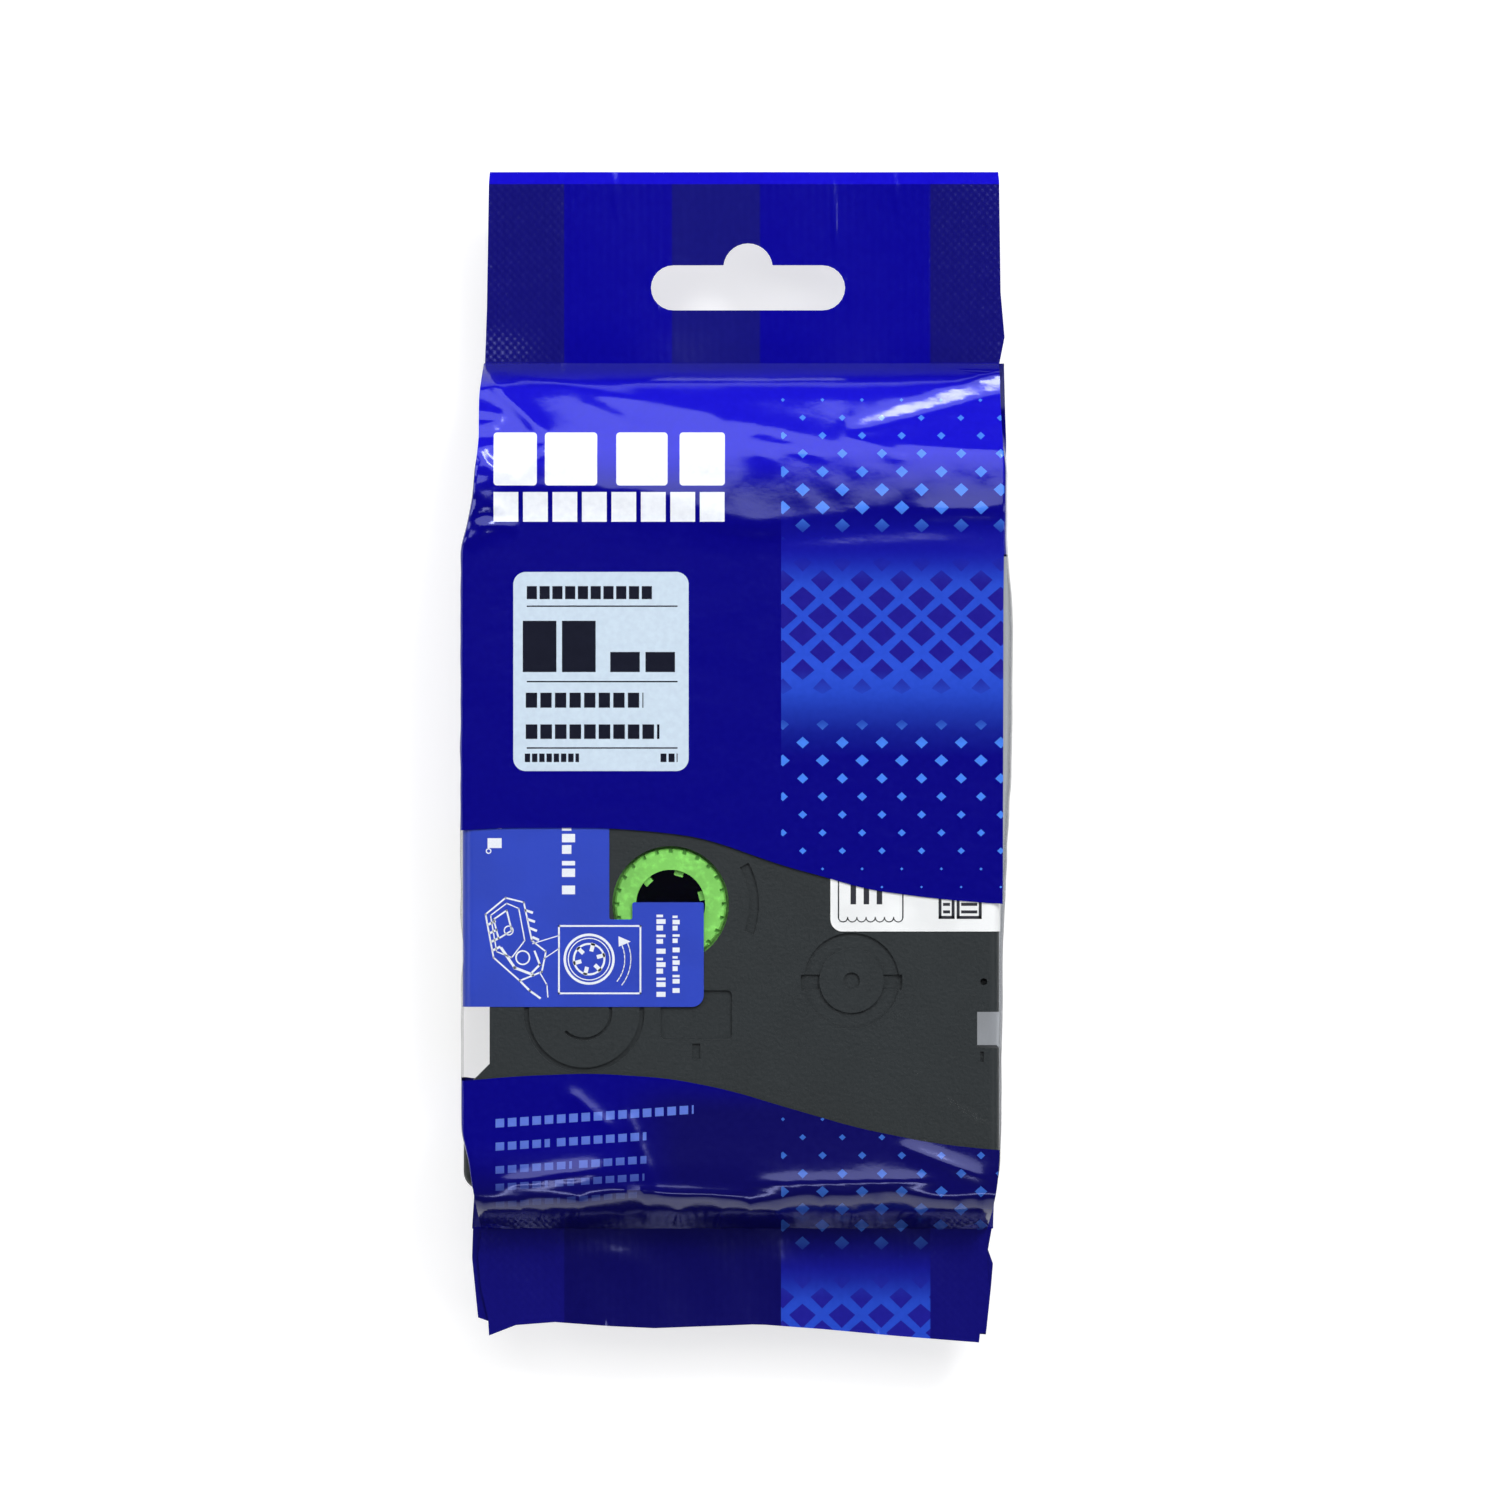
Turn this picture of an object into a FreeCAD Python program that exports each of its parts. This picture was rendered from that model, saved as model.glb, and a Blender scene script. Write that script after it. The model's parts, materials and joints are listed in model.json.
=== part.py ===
# Label tape cassette for 12 mm laminated tape, sealed in its printed hanging film pack.
# The pack lies on its back. +Z leaves the front face, +Y points at the hang slot, +X to the right.
# The origin is the middle of the pack's bounding box in X and Y, at the lowest face. Millimetres.
import FreeCAD, Part
import math
import os

Vector = FreeCAD.Vector
UP = Vector(0, 0, 1)

# Film pack: one web of film with two side gussets, a fin seal down the back and two crimped seals
FILM = 0.15
PACK_TOP, PACK_FOOT, FOOT_SLANT = 58.5, -58.5, 1.9
HEADER_START, FOOT_START = 39.4, -47.1
HEADER_LEFT, HEADER_RIGHT, HEADER_TAPER = -25.3, 26.7, 0.55
FOOT_LEFT, FOOT_RIGHT, FOOT_TAPER = -26.3, 25.7, 0.5
GUSSET_DEPTH = 7.4
FIN_LEFT, FIN_RIGHT = -6.5, 2.3
PLAIN_STRIP = 1.2
CRIMP_PITCH, CRIMP_HEIGHT = 1.5, 0.07
SLACK, END_SLACK = 0.05, 0.3
HEADER_SWELL, FOOT_SWELL = 1.4, 0.6
LOOSE_RIGHT, LOOSE_Y = 1.1, 15.0
FOLD_EDGE, SEAL_EDGE = 0.6, 0.15
TIP_REACH, CLOSED_EDGE, HOLLOW_END = 2.5, 0.02, 0.2
SLOT_X, SLOT_Y = 1.1, 46.95
SLOT_WIDTH, SLOT_HEIGHT = 19.4, 4.5
HUMP_RADIUS, HUMP_DROP = 2.47, 0.29

# Cassette case: outer walls, then the set-back of its front wall, the side notch and the head opening
CASE_LEFT, CASE_RIGHT = -27.2, 26.1
CASE_TOP, CASE_FOOT = 30.0, -43.0
WALL, PLATE = 1.2, 1.3
EDGE_ROUND, CORNER = 1.0, 1.8
PART_LINE = 8.2
SET_BACK, SET_BACK_TOP, SET_BACK_FOOT = 2.6, -22.0, -30.5
NOTCH_DEPTH, NOTCH_TOP, NOTCH_FOOT = 2.2, -25.3, -28.9
HEAD_LEFT, HEAD_RIGHT, HEAD_FOOT, HEAD_TOP = -22.3, -15.6, -13.0, 8.0
ARM_END = -1.5
EXIT_CUT, EXIT_RISE = 2.0, 9.0
ROLLER_OPEN, ROLLER_REACH = 5.6, 3.6
PIN_RADIUS, PIN_REACH, PIN_FIT, POST_WALL = 0.8, 3.0, 0.05, 0.75
GUIDE_RADIUS, SMALL_GUIDE, GUIDE_FIT = 1.4, 0.7, 0.1
DIVIDER_WALL, DIVIDER_GAP, DIVIDER_FROM, DIVIDER_SWEEP = 0.8, 1.3, 5.0, 55.0

# Low relief moulded in the front face
RELIEF = 0.35
CLEAR_SEAT, CLEAR_ISLAND, CLEAR_DOT, SEAT_NOTCH = 4.76, 3.2, 0.83, 0.3
RIBBON_SEAT, RIBBON_GROOVE, RIBBON_ARC, ARC_WIDE = 6.0, 0.5, 2.8, 0.3
RIBBON_ARC_FROM, RIBBON_ARC_SWEEP = 225.0, 150.0
TAKE_UP_ARC, TAKE_UP_GROOVE, TAKE_UP_FROM, TAKE_UP_SWEEP = 8.8, 1.0, -20.0, 48.0
PANEL_LEFT, PANEL_RIGHT, PANEL_FOOT, PANEL_TOP, PANEL_CORNER = -7.6, -0.5, -28.05, -23.15, 0.5
KEY_X, KEY_WIDE, KEY_TOP, KEY_FOOT = -4.05, 0.8, -28.45, -30.0
GAUGE_IN, GAUGE_Y, GAUGE_RADIUS, GAUGE_DEEP = 1.54, -22.3, 0.35, 1.0

# Reels: centre, and the outer radius of each wound roll
ADHESIVE_X, ADHESIVE_Y, ADHESIVE_ROLL = 6.2, 9.8, 18.6
CLEAR_X, CLEAR_Y, CLEAR_ROLL = 11.4, -22.2, 11.6
RIBBON_X, RIBBON_Y, RIBBON_ROLL = -15.2, -25.35, 6.3
TAKE_UP_X, TAKE_UP_Y, TAKE_UP_ROLL = -6.6, -14.6, 4.95
ROLLER_X, ROLLER_Y, ROLLER_RADIUS = -20.0, 19.0, 4.6

# Spools and the hubs that they run on
ADHESIVE_CORE, CLEAR_CORE, RIBBON_CORE, TAKE_UP_CORE = 8.0, 6.5, 4.2, 4.5
ADHESIVE_HUB, CLEAR_HUB, RIBBON_HUB, HUB_WALL = 5.0, 3.3, 2.5, 0.9
LOWER_HUB, UPPER_HUB, REST_WIDTH = 5.0, 4.0, 1.6
CORE_WALL, NECK_STEP = 0.9, 0.6
SPOKES, SPOKE_WIDTH = 6, 1.0
RUN, JOURNAL_GAP, WOUND_GAP = 0.1, 0.25, 0.02
TAKE_UP_BORE, TAKE_UP_TEETH, TOOTH_HIGH, TOOTH_WIDE = 3.44, 6, 0.55, 0.9
TAKE_UP_JOURNAL, TAKE_UP_SHOULDER, JOURNAL_BEVEL = 5.55, 6.3, 0.2
SERRATIONS, SERRATION_DEEP, SERRATION_WIDE = 24, 0.45, 0.4
GRIPS, GRIP_DEEP, GRIP_WIDE = 8, 0.8, 0.6
ROLLER_BORE, ROLLER_JOURNAL, ROLLER_TEETH = 2.1, 3.2, 6
ROLLER_RIBS, RIB_GROOVE = 3, 0.6

# Levels inside the case, from its floor up
TAPE_WIDTH = 12.0
TAPE_LIFT, TAPE_ROOM = 1.0, 0.4
SHOULDER, SHOULDER_GAP = 0.2, 0.05
SPACER = 0.1
FACE_DROP = 0.4
WIRE, WIRE_TURNS, WIRE_TAIL = 0.2, 1.5, 2.2
SPRING_LIFT = 0.06
STRIP, STRIP_GAP = 0.12, 0.2
FILM_LEAVES, FILM_WRAP_FROM, FILM_WRAP_TO = 268.0, 272.0, 180.0
RIBBON_LEAVES, RIBBON_WRAP_FROM, RIBBON_WRAP_TO, RIBBON_JOINS = 180.0, 190.0, 80.0, 165.0
RIBBON_TAIL, TAKE_UP_TAIL = 300.0, 45.0
ARM_LEAN, ARM_ROOM = 2.1, 1.1

# Paper labels on the front face, which turn over one side of the case
LABEL, LABEL_CORNER = 0.1, 1.2
STICKER_TOP, STICKER_STEP, STICKER_FOOT, STICKER_PAST = 19.0, -16.1, -24.8, 0.5
STICKER_RIGHT, LOBE_LEFT, LOBE_TOP, LOBE_RIGHT = -12.7, -10.4, -14.4, -3.3
TYPE_LEFT, TYPE_FOOT, TYPE_TOP, TYPE_PAST = 9.3, -17.3, 21.0, 5.5

CASE_THICK = 2 * PLATE + TAPE_LIFT + TAPE_WIDTH + TAPE_ROOM
FIN = 2 * FILM
CASE_LOW = FIN + FILM + SLACK
CASE_HIGH = CASE_LOW + CASE_THICK
FRONT_OUT = CASE_HIGH + LABEL + SLACK + FILM
PACK_MID = (FIN + FRONT_OUT) / 2
SEAL_HALF = 2 * FILM
PACK_LEFT = CASE_LEFT - LABEL - SLACK - FILM
PACK_TIGHT = CASE_RIGHT + LABEL + SLACK + FILM
PACK_RIGHT = PACK_TIGHT + LOOSE_RIGHT
FLOOR = CASE_LOW + PLATE
CEILING = CASE_HIGH - PLATE
PART_LEVEL = FLOOR + PART_LINE
TAPE_LOW = FLOOR + TAPE_LIFT
TAPE_HIGH = TAPE_LOW + TAPE_WIDTH
SPOOL_LOW = TAPE_LOW - SHOULDER_GAP - SHOULDER
SPOOL_HIGH = TAPE_HIGH + SHOULDER_GAP + SHOULDER
FILM_LINE = CASE_LEFT + WALL + ARM_ROOM
ARM_FOOT = HEAD_FOOT - 2 * WALL
PAST = 1.0

PIN_PLACES = [
    (CASE_LEFT + 2.6, CASE_FOOT + 2.6),
    (HEAD_RIGHT + 8.6, CASE_FOOT + 2.6),
    (CASE_RIGHT - 2.5, CASE_FOOT + 2.6),
    (CASE_RIGHT - 3.7, CLEAR_Y + 14.2),
    (CASE_RIGHT - 2.3, CASE_TOP - 2.4),
    (HEAD_RIGHT + 1.0, CASE_TOP - 2.6),
]
CORNER_GUIDE = (RIBBON_X - 4.4, CLEAR_Y - CLEAR_ROLL - 0.6, GUIDE_RADIUS)
RETURN_GUIDE = (HEAD_LEFT + 1.1, HEAD_TOP + WALL + 2.2, SMALL_GUIDE)
TURN_GUIDE = (HEAD_RIGHT + WALL + 0.5, TAKE_UP_Y + 5.4, SMALL_GUIDE)
GUIDES = [CORNER_GUIDE, RETURN_GUIDE, TURN_GUIDE]


def at(x, y, z=0.0):
    return Vector(x, y, z)


def prism(points, low, high):
    """An upright block over a closed outline of (x, y) points."""
    ring = [at(x, y, low) for x, y in points]
    return Part.Face(Part.makePolygon(ring + ring[:1])).extrude(UP * (high - low))


def box(x0, x1, y0, y1, z0, z1):
    return Part.makeBox(x1 - x0, y1 - y0, z1 - z0, at(x0, y0, z0))


def disc(x, y, radius, z0, z1):
    return Part.makeCylinder(radius, z1 - z0, at(x, y, z0))


def ring(x, y, outer, inner, z0, z1):
    return disc(x, y, outer, z0, z1).cut(disc(x, y, inner, z0, z1))


def turned(shape, x, y, degrees):
    copy = shape.copy()
    copy.rotate(at(x, y), UP, degrees)
    return copy


def around(shape, x, y, count, start=0.0):
    return [turned(shape, x, y, start + 360.0 * i / count) for i in range(count)]


def fuse(shapes):
    whole = shapes[0]
    if len(shapes) > 1:
        whole = whole.multiFuse(shapes[1:])
    return whole.removeSplitter()


def rounded(points, radius):
    """A closed flat wire through the points, with each corner rounded by radius, or by its own third value."""
    edges, ends = [], []
    count = len(points)
    for i in range(count):
        before, corner, after = points[i - 1], points[i], points[(i + 1) % count]
        size = corner[2] if len(corner) > 2 else radius
        here = at(corner[0], corner[1])
        back = (at(before[0], before[1]) - here).normalize()
        on = (at(after[0], after[1]) - here).normalize()
        half = back.getAngle(on) / 2
        if size <= 0 or half > 1.5:
            ends.append((here, here, None))
            continue
        reach = size / math.tan(half)
        middle = here + (back + on).normalize() * (size / math.sin(half) - size)
        ends.append((here + back * reach, here + on * reach, middle))
    for i in range(count):
        start, stop, middle = ends[i]
        if middle is not None:
            edges.append(Part.Arc(start, middle, stop).toShape())
        following = ends[(i + 1) % count][0]
        if stop.distanceToPoint(following) > 1e-6:
            edges.append(Part.LineSegment(stop, following).toShape())
    return Part.Wire(edges)


def slab(wire, low, high):
    face = Part.Face(wire)
    face.translate(UP * low)
    return face.extrude(UP * (high - low))


def mix(a, b, share):
    return a + (b - a) * share


# The film pack


def pack_section(y, left, right, half, gusset, edge):
    """Ten points round the pack at one height: front, right gusset, back, left gusset."""
    low, high = PACK_MID - half, PACK_MID + half
    return [
        at(left + edge, y, high),
        at(right - edge, y, high),
        at(right, y, high - edge),
        at(right - gusset, y, PACK_MID),
        at(right, y, low + edge),
        at(right - edge, y, low),
        at(left + edge, y, low),
        at(left, y, low + edge),
        at(left + gusset, y, PACK_MID),
        at(left, y, high - edge),
    ]


def crossing(p, along_p, q, along_q):
    """Where two lines in one upright plane meet, or None if they run the same way."""
    turn = along_p.x * along_q.z - along_p.z * along_q.x
    if abs(turn) < 1e-6:
        return None
    return p + along_p * (((q.x - p.x) * along_q.z - (q.z - p.z) * along_q.x) / turn)


def inset(points, depth):
    """A section moved inwards by depth: gusset tips stop short, and a fold edge too thin closes to a point."""
    count = len(points)
    along = [(points[(i + 1) % count] - points[i]).normalize() for i in range(count)]
    start = [points[i] + Vector(along[i].z, 0, -along[i].x) * depth for i in range(count)]
    moved = [crossing(start[i - 1], along[i - 1], start[i], along[i]) or start[i] for i in range(count)]
    for i in (3, 8):
        reach = moved[i] - points[i]
        moved[i] = points[i] + reach * min(1.0, TIP_REACH * depth / reach.Length)
    for i in (1, 4, 6, 9):
        after = (i + 1) % count
        if (moved[after] - moved[i]).dot(along[i]) < CLOSED_EDGE:
            meet = crossing(start[i - 1], along[i - 1], start[after], along[after])
            moved[i] = meet - along[i - 1] * CLOSED_EDGE
            moved[after] = meet + along[after] * CLOSED_EDGE
    return moved


def panel(a, b, c, d):
    """One flat face through four corners, or two that meet at a crease from the first corner to the third."""
    if abs((b - a).cross(c - a).dot(d - a)) < 1e-6:
        return [Part.Face(Part.makePolygon([a, b, c, d, a]))]
    return [Part.Face(Part.makePolygon([a, b, c, a])), Part.Face(Part.makePolygon([a, c, d, a]))]


def folded_solid(rows):
    """A closed solid through rows of matching points. The gussets bow out between their creases."""
    faces = [Part.Face(Part.makePolygon(row + row[:1])) for row in (rows[0], rows[-1])]
    for lower, upper in zip(rows, rows[1:]):
        opens = upper is not rows[-1]
        for i in range(len(lower)):
            tip_last = i in (3, 8)
            quad = [lower[i - 1], lower[i], upper[i], upper[i - 1]]
            faces += panel(*(quad if tip_last == opens else quad[1:] + quad[:1]))
    shell = Part.makeShell(faces)
    shell.sewShape()
    solid = Part.makeSolid(shell)
    if solid.Volume < 0:
        solid.reverse()
    return solid


def swollen(seal, body, swell):
    """The row half way from a seal to the case, where the air in the pack holds the film out by swell."""
    y, left, right, half, gusset, edge = [mix(a, b, 0.5) for a, b in zip(seal, body)]
    return (y, left, right, half + swell, gusset, edge)


def body_stations():
    """Rows from the foot seal to the header: y, left, right, half thickness, gusset depth, fold edge."""
    half = (FRONT_OUT - FIN) / 2
    exit_left = PACK_LEFT + 0.7 * EXIT_CUT
    rows = [
        (FOOT_START, FOOT_LEFT, FOOT_RIGHT, SEAL_HALF, GUSSET_DEPTH, SEAL_EDGE),
        (CASE_FOOT - END_SLACK, PACK_LEFT + 0.55 * CORNER, PACK_TIGHT - 0.4 * CORNER, half, 0.3, FOLD_EDGE),
        (CASE_FOOT + 0.6 * CORNER, PACK_LEFT, PACK_TIGHT, half, 0.0, FOLD_EDGE),
        (TYPE_FOOT - 1.0, PACK_LEFT, PACK_TIGHT, half, 0.0, FOLD_EDGE),
        (LOOSE_Y, PACK_LEFT, PACK_RIGHT, half, 0.0, FOLD_EDGE),
        (ROLLER_Y + 1.4, PACK_LEFT, PACK_RIGHT, half, 0.0, FOLD_EDGE),
        (CASE_TOP - 0.6 * CORNER, exit_left, PACK_RIGHT - 0.3, half, 0.0, FOLD_EDGE),
        (CASE_TOP + END_SLACK, exit_left + 0.3, PACK_RIGHT - 0.4, half, 0.3, FOLD_EDGE),
        (HEADER_START, HEADER_LEFT, HEADER_RIGHT, SEAL_HALF, GUSSET_DEPTH, SEAL_EDGE),
    ]
    foot_swell = swollen(rows[0], rows[1], FOOT_SWELL)
    header_swell = swollen(rows[-1], rows[-2], HEADER_SWELL)
    return rows[:1] + [foot_swell] + rows[1:-1] + [header_swell] + rows[-1:]


def hollow_rows():
    """The same rows inside the film. The end rows stop where the front and back come together."""
    rows = body_stations()
    inner = [inset(pack_section(*row), FILM) for row in rows[1:-1]]
    ends = []
    for seal, body in ((rows[0], rows[1]), (rows[-1], rows[-2])):
        run, rise = abs(body[0] - seal[0]), body[3] - seal[3]
        row = [mix(a, b, HOLLOW_END) for a, b in zip(seal, body)]
        ends.append(inset(pack_section(*row), FILM * math.hypot(run, rise) / run))
    return ends[:1] + inner + ends[1:]


def crimped_sheet(y0, y1, left, right):
    """A seal: film layers pressed flat, four deep at the gussets, with upright crimp ridges."""
    steps = int(round((right - left) / (CRIMP_PITCH / 2)))
    pitch = (right - left) / steps
    front, back = [], []
    for i in range(steps + 1):
        x = left + pitch * i
        deep = x < left + GUSSET_DEPTH or x > right - GUSSET_DEPTH
        half = SEAL_HALF if deep else SEAL_HALF / 2
        wave = CRIMP_HEIGHT if i % 2 else 0.0
        under = FIN if FIN_LEFT < x < FIN_RIGHT else 0.0
        front.append(at(x, y0, PACK_MID + half + wave))
        back.append(at(x, y0, PACK_MID - half - under + wave))
    outline = front + back[::-1]
    face = Part.Face(Part.makePolygon(outline + outline[:1]))
    return face.extrude(Vector(0, y1 - y0, 0))


def header():
    """The crimped seal above the case, with a plain strip along its top and sides that lean in a little."""
    sheet = crimped_sheet(HEADER_START, PACK_TOP - PLAIN_STRIP, HEADER_LEFT, HEADER_RIGHT)
    strip = box(HEADER_LEFT, HEADER_RIGHT, PACK_TOP - PLAIN_STRIP, PACK_TOP,
                PACK_MID - SEAL_HALF / 2, PACK_MID + SEAL_HALF / 2)
    trim = prism([
        (HEADER_LEFT, HEADER_START),
        (HEADER_RIGHT, HEADER_START),
        (HEADER_RIGHT - HEADER_TAPER, PACK_TOP),
        (HEADER_LEFT + HEADER_TAPER, PACK_TOP),
    ], FIN, FRONT_OUT)
    return fuse([sheet, strip]).common(trim)


def foot():
    """The crimped seal below the case. It was cut a little askew, so its right side is longer."""
    sheet = crimped_sheet(PACK_FOOT, FOOT_START, FOOT_LEFT, FOOT_RIGHT)
    trim = prism([
        (FOOT_LEFT, FOOT_START),
        (FOOT_LEFT + FOOT_TAPER, PACK_FOOT + FOOT_SLANT),
        (FOOT_RIGHT - FOOT_TAPER, PACK_FOOT),
        (FOOT_RIGHT, FOOT_START),
    ], FIN, FRONT_OUT)
    return sheet.common(trim)


def fin_seal():
    """The lengthwise back seal, folded flat against the back panel from one crimped seal to the other."""
    line = [(s[0], PACK_MID - s[3]) for s in body_stations()]
    upper = [at(FIN_LEFT, y, z) for y, z in line]
    lower = [at(FIN_LEFT, y, z - FIN) for y, z in line]
    outline = upper + lower[::-1]
    face = Part.Face(Part.makePolygon(outline + outline[:1]))
    return face.extrude(Vector(FIN_RIGHT - FIN_LEFT, 0, 0))


def hang_slot():
    """The hang hole: a round-ended slot with a hump over its middle."""
    r = SLOT_HEIGHT / 2
    w = SLOT_WIDTH / 2 - r
    low, high = PACK_MID - PAST, PACK_MID + PAST
    cut = box(SLOT_X - w, SLOT_X + w, SLOT_Y - r, SLOT_Y + r, low, high)
    ends = [disc(SLOT_X + side * w, SLOT_Y, r, low, high) for side in (-1, 1)]
    hump = disc(SLOT_X, SLOT_Y + r - HUMP_DROP, HUMP_RADIUS, low, high)
    return fuse([cut, hump] + ends)


def film_pack():
    outer = folded_solid([pack_section(*row) for row in body_stations()])
    skin = fuse([outer, fin_seal(), header(), foot()])
    return skin.cut(hang_slot()).cut(folded_solid(hollow_rows()))


# The cassette case


def case_outline():
    """The case's inner wall line: its front wall has a set-back and opens at the print head."""
    back = CASE_LEFT + SET_BACK
    return [
        (CASE_LEFT, CASE_FOOT),
        (CASE_RIGHT, CASE_FOOT),
        (CASE_RIGHT, NOTCH_FOOT, 0.0),
        (CASE_RIGHT - NOTCH_DEPTH, NOTCH_FOOT, 0.0),
        (CASE_RIGHT - NOTCH_DEPTH, NOTCH_TOP, 0.0),
        (CASE_RIGHT, NOTCH_TOP, 0.0),
        (CASE_RIGHT, CASE_TOP),
        (CASE_LEFT + EXIT_CUT, CASE_TOP),
        (CASE_LEFT, CASE_TOP - EXIT_RISE),
        (CASE_LEFT, ROLLER_Y - ROLLER_OPEN, 0.0),
        (HEAD_LEFT, ROLLER_Y - ROLLER_OPEN, 0.0),
        (HEAD_LEFT, ARM_END, 0.0),
        (CASE_LEFT, ARM_END, 0.0),
        (CASE_LEFT, SET_BACK_TOP, 0.0),
        (back, SET_BACK_TOP - SET_BACK / 2, 0.0),
        (back, SET_BACK_FOOT, 0.0),
        (CASE_LEFT, SET_BACK_FOOT - SET_BACK, 0.0),
    ]


def case_block(low, high):
    return slab(rounded(case_outline(), CORNER), low, high)


def case_shell(low, high, face, hollow_low, hollow_high):
    """One half of the case, with its outer edges rounded at the level of its face, and open at the parting."""
    plain = [
        (CASE_LEFT, CASE_FOOT),
        (CASE_RIGHT, CASE_FOOT),
        (CASE_RIGHT, CASE_TOP),
        (CASE_LEFT + EXIT_CUT, CASE_TOP),
        (CASE_LEFT, CASE_TOP - EXIT_RISE),
    ]
    block = slab(rounded(plain, CORNER), low, high)
    rim = [e for e in block.Edges if all(abs(v.Z - face) < 1e-6 for v in e.Vertexes)]
    block = block.makeFillet(EDGE_ROUND, rim).common(case_block(low, high))
    inside = Part.Face(rounded(case_outline(), CORNER)).makeOffset2D(-WALL)
    inside.translate(UP * hollow_low)
    return block.cut(inside.extrude(UP * (hollow_high - hollow_low)))


def head_window(low, high):
    """The opening that the print head stands in, right through the case."""
    return box(HEAD_LEFT, HEAD_RIGHT, HEAD_FOOT, HEAD_TOP, low, high)


def head_wall(low, high):
    """The wall round the head opening, open towards the arm's end."""
    outer = box(HEAD_LEFT - WALL, HEAD_RIGHT + WALL, HEAD_FOOT - WALL, HEAD_TOP + WALL, low, high)
    return outer.cut(head_window(low - PAST, high + PAST))


def arc_wall(x, y, inner, width, start, sweep, low, high):
    whole = Part.makeCylinder(inner + width, high - low, at(x, y, low), UP, sweep)
    wall = whole.cut(disc(x, y, inner, low - PAST, high + PAST))
    return turned(wall, x, y, start)


def divider(low, high):
    """The curved wall that keeps the take-up spool clear of the big roll."""
    inner = TAKE_UP_SHOULDER + DIVIDER_GAP
    return arc_wall(TAKE_UP_X, TAKE_UP_Y, inner, DIVIDER_WALL, DIVIDER_FROM, DIVIDER_SWEEP, low, high)


def hubs(low, high):
    """The three hollow hubs that the spoked spools and the ribbon spool turn on."""
    places = [
        (ADHESIVE_X, ADHESIVE_Y, ADHESIVE_HUB),
        (CLEAR_X, CLEAR_Y, CLEAR_HUB),
        (RIBBON_X, RIBBON_Y, RIBBON_HUB),
    ]
    return [ring(x, y, radius, radius - HUB_WALL, low, high) for x, y, radius in places]


def journal_holes(low, high):
    """Holes that the take-up spool and the feed roller turn in."""
    return [
        disc(TAKE_UP_X, TAKE_UP_Y, TAKE_UP_JOURNAL + JOURNAL_GAP, low, high),
        disc(ROLLER_X, ROLLER_Y, ROLLER_JOURNAL + JOURNAL_GAP, low, high),
    ]


def tape_gaps():
    """Open stretches of wall: at the arm's end, where the ribbon returns, by the roller and at the exit."""
    low, high = TAPE_LOW - 0.3, TAPE_HIGH + 0.3
    open_foot = ROLLER_Y - ROLLER_OPEN
    roller = box(CASE_LEFT - PAST, ROLLER_X, open_foot - PAST, ROLLER_Y + ROLLER_REACH, low, high)
    leave = box(CASE_LEFT - PAST, ROLLER_X - 2.2, CASE_TOP - 2.5 * WALL, CASE_TOP + PAST, low, high)
    arm = box(CASE_LEFT + WALL, HEAD_LEFT - WALL, ARM_END - 2 * WALL, ARM_END + PAST, low, high)
    back = box(HEAD_LEFT - PAST, HEAD_LEFT + WALL + 0.1, HEAD_TOP + WALL + 0.3, open_foot, low, high)
    return [arm, back, roller, leave]


def bottom_case():
    shell = case_shell(CASE_LOW, PART_LEVEL, CASE_LOW, FLOOR, PART_LEVEL + PAST)
    post = PIN_RADIUS + PIN_FIT + POST_WALL
    posts = [disc(x, y, post, FLOOR, PART_LEVEL) for x, y in PIN_PLACES]
    guides = [disc(x, y, r, FLOOR, CEILING - GUIDE_FIT) for x, y, r in GUIDES]
    rests = [
        ring(x, y, radius + REST_WIDTH, radius - HUB_WALL / 2, FLOOR, SPOOL_LOW - RUN)
        for x, y, radius in ((ADHESIVE_X, ADHESIVE_Y, ADHESIVE_HUB), (CLEAR_X, CLEAR_Y, CLEAR_HUB))
    ]
    walls = [head_wall(FLOOR, PART_LEVEL), divider(FLOOR, PART_LEVEL)]
    shell = fuse([shell] + walls + posts + guides + hubs(FLOOR, FLOOR + LOWER_HUB) + rests)
    shell = shell.common(case_block(CASE_LOW, CASE_HIGH))
    sockets = [
        disc(x, y, PIN_RADIUS + PIN_FIT, PART_LEVEL - PIN_REACH - PIN_RADIUS / 2, PART_LEVEL + PAST)
        for x, y in PIN_PLACES
    ]
    cuts = [head_window(CASE_LOW - PAST, CASE_HIGH + PAST)] + journal_holes(CASE_LOW - PAST, FLOOR + PAST)
    for cut in cuts + tape_gaps() + sockets:
        shell = shell.cut(cut)
    return shell


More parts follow.
